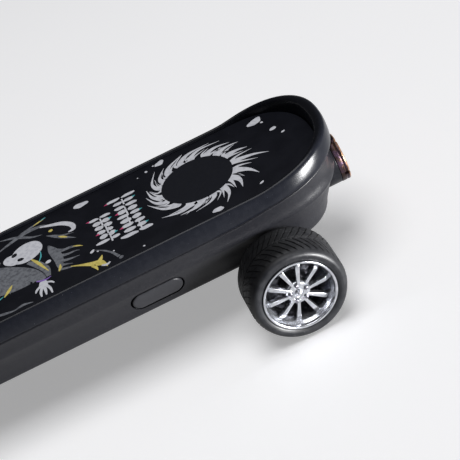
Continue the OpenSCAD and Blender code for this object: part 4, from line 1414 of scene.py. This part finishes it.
ink("print_mask", white, WHITE_INK, 0.014)
ink("print_yellow", yellow, YELLOW_INK, 0.010)
ink("print_eyes", black, BLACK_INK, 0.008)
ink("print_violet", violet, VIOLET_INK, 0.010)
ink("print_teal", teal, TEAL_INK, 0.010)
print("the figure has", len(grey) + len(white) + len(yellow), "strokes")

# %% [markdown]
# ## Trucks
# Over each axle a cast truck: a plate against the floor of the shell, a post
# that tapers down, and a round hanger that carries the axle. The plate's edges
# are bevelled as a casting's are, the post is a box whose lower end is scaled
# in, and the hanger is turned.

# %% Trucks
truck_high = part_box("truck_tail")[1]
PLATE_TOP = truck_high.z / MM
HANGER_END = truck_high.y / MM
AXLE_HOLE_R, TRUCK_WAY_R = 1.005, 0.85
PLATE_HALF, PLATE_T = 7.5, 1.5
POST_HALF_X, POST_HALF_Y = 2.9, 6.9
TAPER_X, TAPER_Y = 0.72, 0.9


def box(name, low, high):
    """A box between two corners."""
    low, high = Vector(low), Vector(high)
    only()
    bpy.ops.mesh.primitive_cube_add(size=1, location=(low + high) / 2 * MM, scale=(high - low) * MM)
    return put_down(named(name))


def make_truck(x):
    """A truck whose axle stands at x."""
    plate = box("truck", (x - PLATE_HALF, -PLATE_HALF, PLATE_TOP - PLATE_T),
                (x + PLATE_HALF, PLATE_HALF, PLATE_TOP))
    bevel(plate, 0.9, 4)
    post = box("post", (x - POST_HALF_X, -POST_HALF_Y, AXLE.z + 0.2),
               (x + POST_HALF_X, POST_HALF_Y, PLATE_TOP - 0.7))
    for vertex in post.data.vertices:
        if vertex.co.z < (AXLE.z + 1) * MM:
            vertex.co.x = x * MM + (vertex.co.x - x * MM) * TAPER_X
            vertex.co.y *= TAPER_Y
    hanger = turned("hanger", soft_profile([
        (AXLE_HOLE_R, -HANGER_END), (1.75, -HANGER_END), (2.3, -HANGER_END + 0.7), (2.3, -7.4), (2.05, -6.9),
        (2.05, 6.9), (2.3, 7.4), (2.3, HANGER_END - 0.7), (1.75, HANGER_END), (AXLE_HOLE_R, HANGER_END)],
        0.15, 3),
        (x, 0, AXLE.z), (0, 1, 0), 64)
    unite(plate, post)
    cut(plate, rod("bore", AXLE_HOLE_R, (x, -HANGER_END - 1, AXLE.z), (x, HANGER_END + 1, AXLE.z), 48))
    for du in (-TRUCK_SCREW_DU, TRUCK_SCREW_DU):
        cut(plate, rod("way", TRUCK_WAY_R, (x + du, 0, PLATE_TOP - 4), (x + du, 0, PLATE_TOP + 1), 32))
    return join("truck", [plate, hanger])


CAST_BLACK = soft_plastic("cast_black", (0.010, 0.010, 0.011), (0.022, 0.022, 0.024), 0.48)
for end, sign in (("tail", 1), ("nose", -1)):
    truck = make_truck(DECK_X + sign * AXLE_U)
    truck.name = truck.data.name = "truck_piece_" + end
    ready(truck, 35, CAST_BLACK, "chassis", "truck", "truck_" + end)
print("two trucks carry the axles")

# %% [markdown]
# ## Screws
# Pan-head screws with a crossed recess. A cylinder is the head: its upper face
# is inset and drawn up for the shank, its edges are bevelled, and two bars cut
# the cross.

# %% Screws
CROSS_W = 0.28


def screw(x, y, z, shank, head, head_h, length):
    """A screw with its head down at height z; shank and head are radii."""
    only()
    bpy.ops.mesh.primitive_cylinder_add(
        vertices=32, radius=head * MM, depth=head_h * MM, location=mm(x, y, z + head_h / 2))
    piece = put_down(named("screw"))
    pick(piece, "FACE", lambda face: face.normal.z > 0.9)
    bpy.ops.mesh.inset(thickness=(head - shank) * MM)
    bpy.ops.mesh.extrude_region_move(TRANSFORM_OT_translate={"value": mm(0, 0, length)})
    only(piece)
    bevel(piece, 0.09, 2, 60)
    for a in (0, math.pi / 2):
        bar = box("bar", (-head * 0.6, -CROSS_W / 2, -1), (head * 0.6, CROSS_W / 2, head_h * 0.55))
        bar.data.transform(Matrix.Translation(mm(x, y, z)) @ Matrix.Rotation(a + 0.4, 4, "Z"))
        cut(piece, bar)
    return piece


truck_heads, casing_heads = (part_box(node)[0].z / MM for node in ("truck_screws", "casing_screws"))
truck_screws = join("truck_screw_pieces", [
    screw(DECK_X + u, 0, truck_heads, shank=0.62, head=1.3, head_h=0.7, length=2.7) for u in TRUCK_SCREWS])
casing_screws = join("casing_screw_pieces", [
    screw(DECK_X + u, y, casing_heads, shank=0.68, head=1.45, head_h=0.6, length=5.0) for u, y in BOSSES])
STEEL = dull_steel("screw_steel", (0.50, 0.50, 0.52), 0.30)
BLACK_OXIDE = dull_steel("black_oxide", (0.06, 0.06, 0.065), 0.38)
ready(truck_screws, 35, STEEL, "chassis", "stamped_steel", "truck_screws")
ready(casing_screws, 35, BLACK_OXIDE, "chassis", "stamped_steel", "casing_screws")
print("eight screws hold it together")

# %% [markdown]
# ## Charging socket
# A drawn steel shell with a rolled mouth, and a black tongue inside it with
# two rows of gilt contacts. The shell is a loft of pill-shaped rings: out along
# the outside, round the mouth, and back in along the inside.

# %% Charging socket
usb_low, usb_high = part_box("usb_socket")
tongue_low, tongue_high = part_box("usb_tongue")
MOUTH, BACK = usb_low.x / MM, usb_high.x / MM
SOCKET_L, SOCKET_H = 9.0, 3.2


def socket_ring(x, inset):
    """A ring of the socket at x, drawn in from its outside."""
    points = pill_ring(SOCKET_L - 2 * inset, SOCKET_H - 2 * inset, 64)
    return [mm(x, along, PANEL_Z + USB_Z + up) for along, up in points]


socket_shell = ring_stack("socket_shell", [socket_ring(x, inset) for x, inset in (
    (BACK, 0.25), (BACK, 0.05), (BACK - 0.15, 0.0), (MOUTH + 0.15, 0.0), (MOUTH + 0.03, 0.05), (MOUTH, 0.14),
    (MOUTH + 0.05, 0.25), (MOUTH + 0.25, 0.3), (BACK - 1.25, 0.3), (BACK - 1.2, 0.4))])
SOCKET_STEEL = dull_steel("socket_steel", (0.60, 0.61, 0.63), 0.24)
ready(socket_shell, 40, SOCKET_STEEL, "chassis", "stamped_steel", "usb_socket")
tongue = box("tongue", tongue_low / MM, tongue_high / MM)
bevel(tongue, 0.12, 3)
CONTACTS, CONTACT_PITCH, CONTACT_W, CONTACT_T = 12, 0.5, 0.24, 0.05
front = tongue_low.x / MM
contacts = []
for k in range(CONTACTS):
    y = (k - (CONTACTS - 1) / 2) * CONTACT_PITCH
    for z in (tongue_high.z / MM - 0.03, tongue_low.z / MM - 0.02):
        contacts.append(box(
            "contact", (front + 0.35, y - CONTACT_W / 2, z), (front + 3.2, y + CONTACT_W / 2, z + CONTACT_T)))
contact_rows = join("tongue_contacts", contacts)
TONGUE_BLACK = soft_plastic("tongue_black", (0.012, 0.012, 0.013), (0.020, 0.020, 0.022), 0.45)
ready(tongue, 35, TONGUE_BLACK, "chassis", "black_plastic", "usb_tongue")
ready(contact_rows, 35, GILT, "chassis", "gold_plate")
print("socket with", len(contacts), "contacts")

# %% [markdown]
# ## Pin spring
# A coil of round wire behind the centre pin. A circle is drawn round the axis
# by a Screw modifier, which climbs as it turns, and its two ends are filled.
# When the pin is pressed the coil would flatten towards the terminal behind it; here it is built at rest.

# %% Pin spring
spring_low, spring_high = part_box("pin_spring")
SPRING_WIRE_R, SPRING_TURNS, PIN_TRAVEL = 0.11, 3, 0.5
SPRING_R = (spring_high.y - spring_low.y) / 2 / MM - SPRING_WIRE_R
SPRING_L = (spring_high.x - spring_low.x) / MM
COIL_L = SPRING_L - 2 * SPRING_WIRE_R
only()
bpy.ops.mesh.primitive_circle_add(vertices=12, radius=SPRING_WIRE_R * MM, location=mm(0, SPRING_R, 0))
spring = put_down(named("pin_spring_piece"))
modify(spring, "SCREW", axis="X", angle=2 * math.pi, iterations=SPRING_TURNS,
       screw_offset=COIL_L / SPRING_TURNS * MM, steps=28, render_steps=28, use_merge_vertices=False)
edit(spring, "EDGE")
bpy.ops.mesh.fill_holes(sides=12)
outwards(spring)
spring_axis_z = (spring_low.z + spring_high.z) / 2
spring.data.transform(Matrix.Translation((spring_low.x + SPRING_WIRE_R * MM, 0, spring_axis_z)))
SPRING_STEEL = dull_steel("spring_steel", (0.66, 0.67, 0.70), 0.18)
ready(spring, 60, SPRING_STEEL, "chassis", "spring_steel", "pin_spring")
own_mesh(spring)
print("spring:", len(spring.data.polygons), "faces,", round(COIL_L, 2), "mm long")

# %% [markdown]
# ## Inside
# The nodes inside keep their own shapes and get finishes: green boards with
# faint copper runs, black chips, a pale blue shrink-wrapped cell, grey foam,
# red, amber and black leads, bright steel for the switch and the axles.

# %% Inside
def circuit_green():
    f = Finish("circuit_green", IOR=1.5, Specular_IOR_Level=0.5)
    where = f.place()
    runs = f.node("ShaderNodeTexBrick", {"offset": 0.35, "squash": 1.6}, {
        "Vector": where, "Scale": 0.9, "Mortar Size": 0.04, "Mortar Smooth": 0.2,
        "Color1": (0, 0, 0), "Color2": (0, 0, 0), "Mortar": (1, 1, 1)})
    track = f.node("ShaderNodeSeparateColor", None, {0: runs})
    cloud = f.noise(where, 0.6, 3.0)
    base = f.mix(cloud, (0.008, 0.065, 0.026), (0.012, 0.095, 0.040))
    return f.set(Base_Color=f.mix(track * 0.7, base, (0.04, 0.20, 0.07)), Roughness=cloud * 0.15 + 0.3,
                 Normal=f.bump(track, 0.03, 0.6))


def foam_grey():
    f = Finish("foam_grey", IOR=1.45, Specular_IOR_Level=0.2)
    where = f.place()
    pores = f.cells(where, 2.6)
    return f.set(Base_Color=f.mix(f.step(pores, 0.1, 0.6), (0.018, 0.018, 0.020), (0.060, 0.060, 0.064)),
                 Roughness=pores * 0.1 + 0.85, Normal=f.bump(pores, 0.12, 0.9))


GREEN, FOAM = circuit_green(), foam_grey()
CHIP = soft_plastic("chip_black", (0.010, 0.010, 0.011), (0.022, 0.022, 0.024), 0.5)
AXLE_STEEL = dull_steel("axle_steel", (0.62, 0.63, 0.65), 0.22)
INNER = {
    "panel_adhesive": soft_plastic("adhesive_white", (0.55, 0.55, 0.52), (0.66, 0.66, 0.63), 0.6, 0.3),
    "battery_cell": soft_plastic("cell_wrap", (0.30, 0.35, 0.42), (0.42, 0.47, 0.54), 0.28, 0.5),
    "cell_guard_board": GREEN, "control_board": GREEN, "charge_board": GREEN,
    "cell_foam_top": FOAM, "cell_foam_bottom": FOAM,
    "control_chips": CHIP, "charge_chips": CHIP,
    "switch_body": dull_steel("switch_steel", (0.60, 0.61, 0.63), 0.28),
    "switch_plunger": soft_plastic("plunger_black", (0.012, 0.012, 0.013), (0.024, 0.024, 0.026), 0.4),
    "pin_terminal": GILT,
    "battery_leads": soft_plastic("red_lead", (0.42, 0.012, 0.010), (0.55, 0.020, 0.015), 0.4),
    "charge_leads": soft_plastic("amber_lead", (0.50, 0.20, 0.012), (0.62, 0.27, 0.020), 0.4),
    "connector_leads": soft_plastic("black_lead", (0.012, 0.012, 0.013), (0.022, 0.022, 0.024), 0.4),
    "axle_nose": AXLE_STEEL, "axle_tail": AXLE_STEEL}
for end in ("nose", "tail"):
    for hand in ("left", "right"):
        INNER[f"axle_clip_{end}_{hand}"] = STEEL
for node, finish in INNER.items():
    wear(finish, bpy.data.objects[node])
print(len(INNER), "nodes keep their shape and get a finish")

# %% [markdown]
# ## Floor and light
# A pale floor that glows a little, so that it stays even, and two soft lamps:
# a wide one overhead, and a low one at the side that draws the long highlight
# round the rim of the deck. Light linking keeps the side lamp off the floor,
# which would otherwise shine up into the flanks, and off the panel, where it
# would drown the print.

# %% Floor and light
FLOOR_GLOW, TOP_POWER, SIDE_POWER = 0.34, 1.7, 0.85
AMBIENT = (0.08, 0.08, 0.09, 1)
only()
bpy.ops.mesh.primitive_plane_add(size=6)
floor = named("floor")
pale = Finish("pale_floor", Base_Color=(0.86, 0.86, 0.87))
cloud = pale.noise(pale.place(), 0.02, 3.0)
pale.set(Roughness=pale.step(cloud, 0.3, 0.7, 0.75, 0.85))
pale.set(Emission_Strength=FLOOR_GLOW, Emission_Color=(1.0, 1.0, 1.0))
wear(pale, floor)


def softbox(name, place, aim, size, power, spread=180):
    """A rectangular lamp that looks from a place to an aim, both in millimetres."""
    only()
    bpy.ops.object.light_add(type="AREA", location=mm(*place))
    lamp = bpy.context.object
    lamp.name = name
    lamp.data.shape = "RECTANGLE"
    lamp.data.size, lamp.data.size_y = size[0] * MM, size[1] * MM
    lamp.data.energy = power
    lamp.data.spread = math.radians(spread)
    lamp.rotation_euler = (mm(*aim) - lamp.location).to_track_quat("-Z", "Y").to_euler()
    return lamp


softbox("top_light", place=(60, -60, 520), aim=(35, 0, 15), size=(330, 330), power=TOP_POWER)
side_light = softbox(
    "side_light", place=(223, -184, 30), aim=(52, -10, 24), size=(130, 80), power=SIDE_POWER, spread=70)
unlit = bpy.data.collections.new("kept_from_side_light")
for piece in [floor, panel] + [ob for ob in bpy.data.objects if ob.name.startswith("print_")]:
    unlit.objects.link(piece)
for member in unlit.collection_objects:
    member.light_linking.link_state = "EXCLUDE"
side_light.light_linking.receiver_collection = unlit
world = bpy.data.worlds.new("studio")
world.use_nodes = True
world.node_tree.nodes["Background"].inputs["Color"].default_value = AMBIENT
bpy.context.scene.world = world
bpy.context.scene.view_settings.view_transform = "Standard"
print("two lamps over a pale floor")
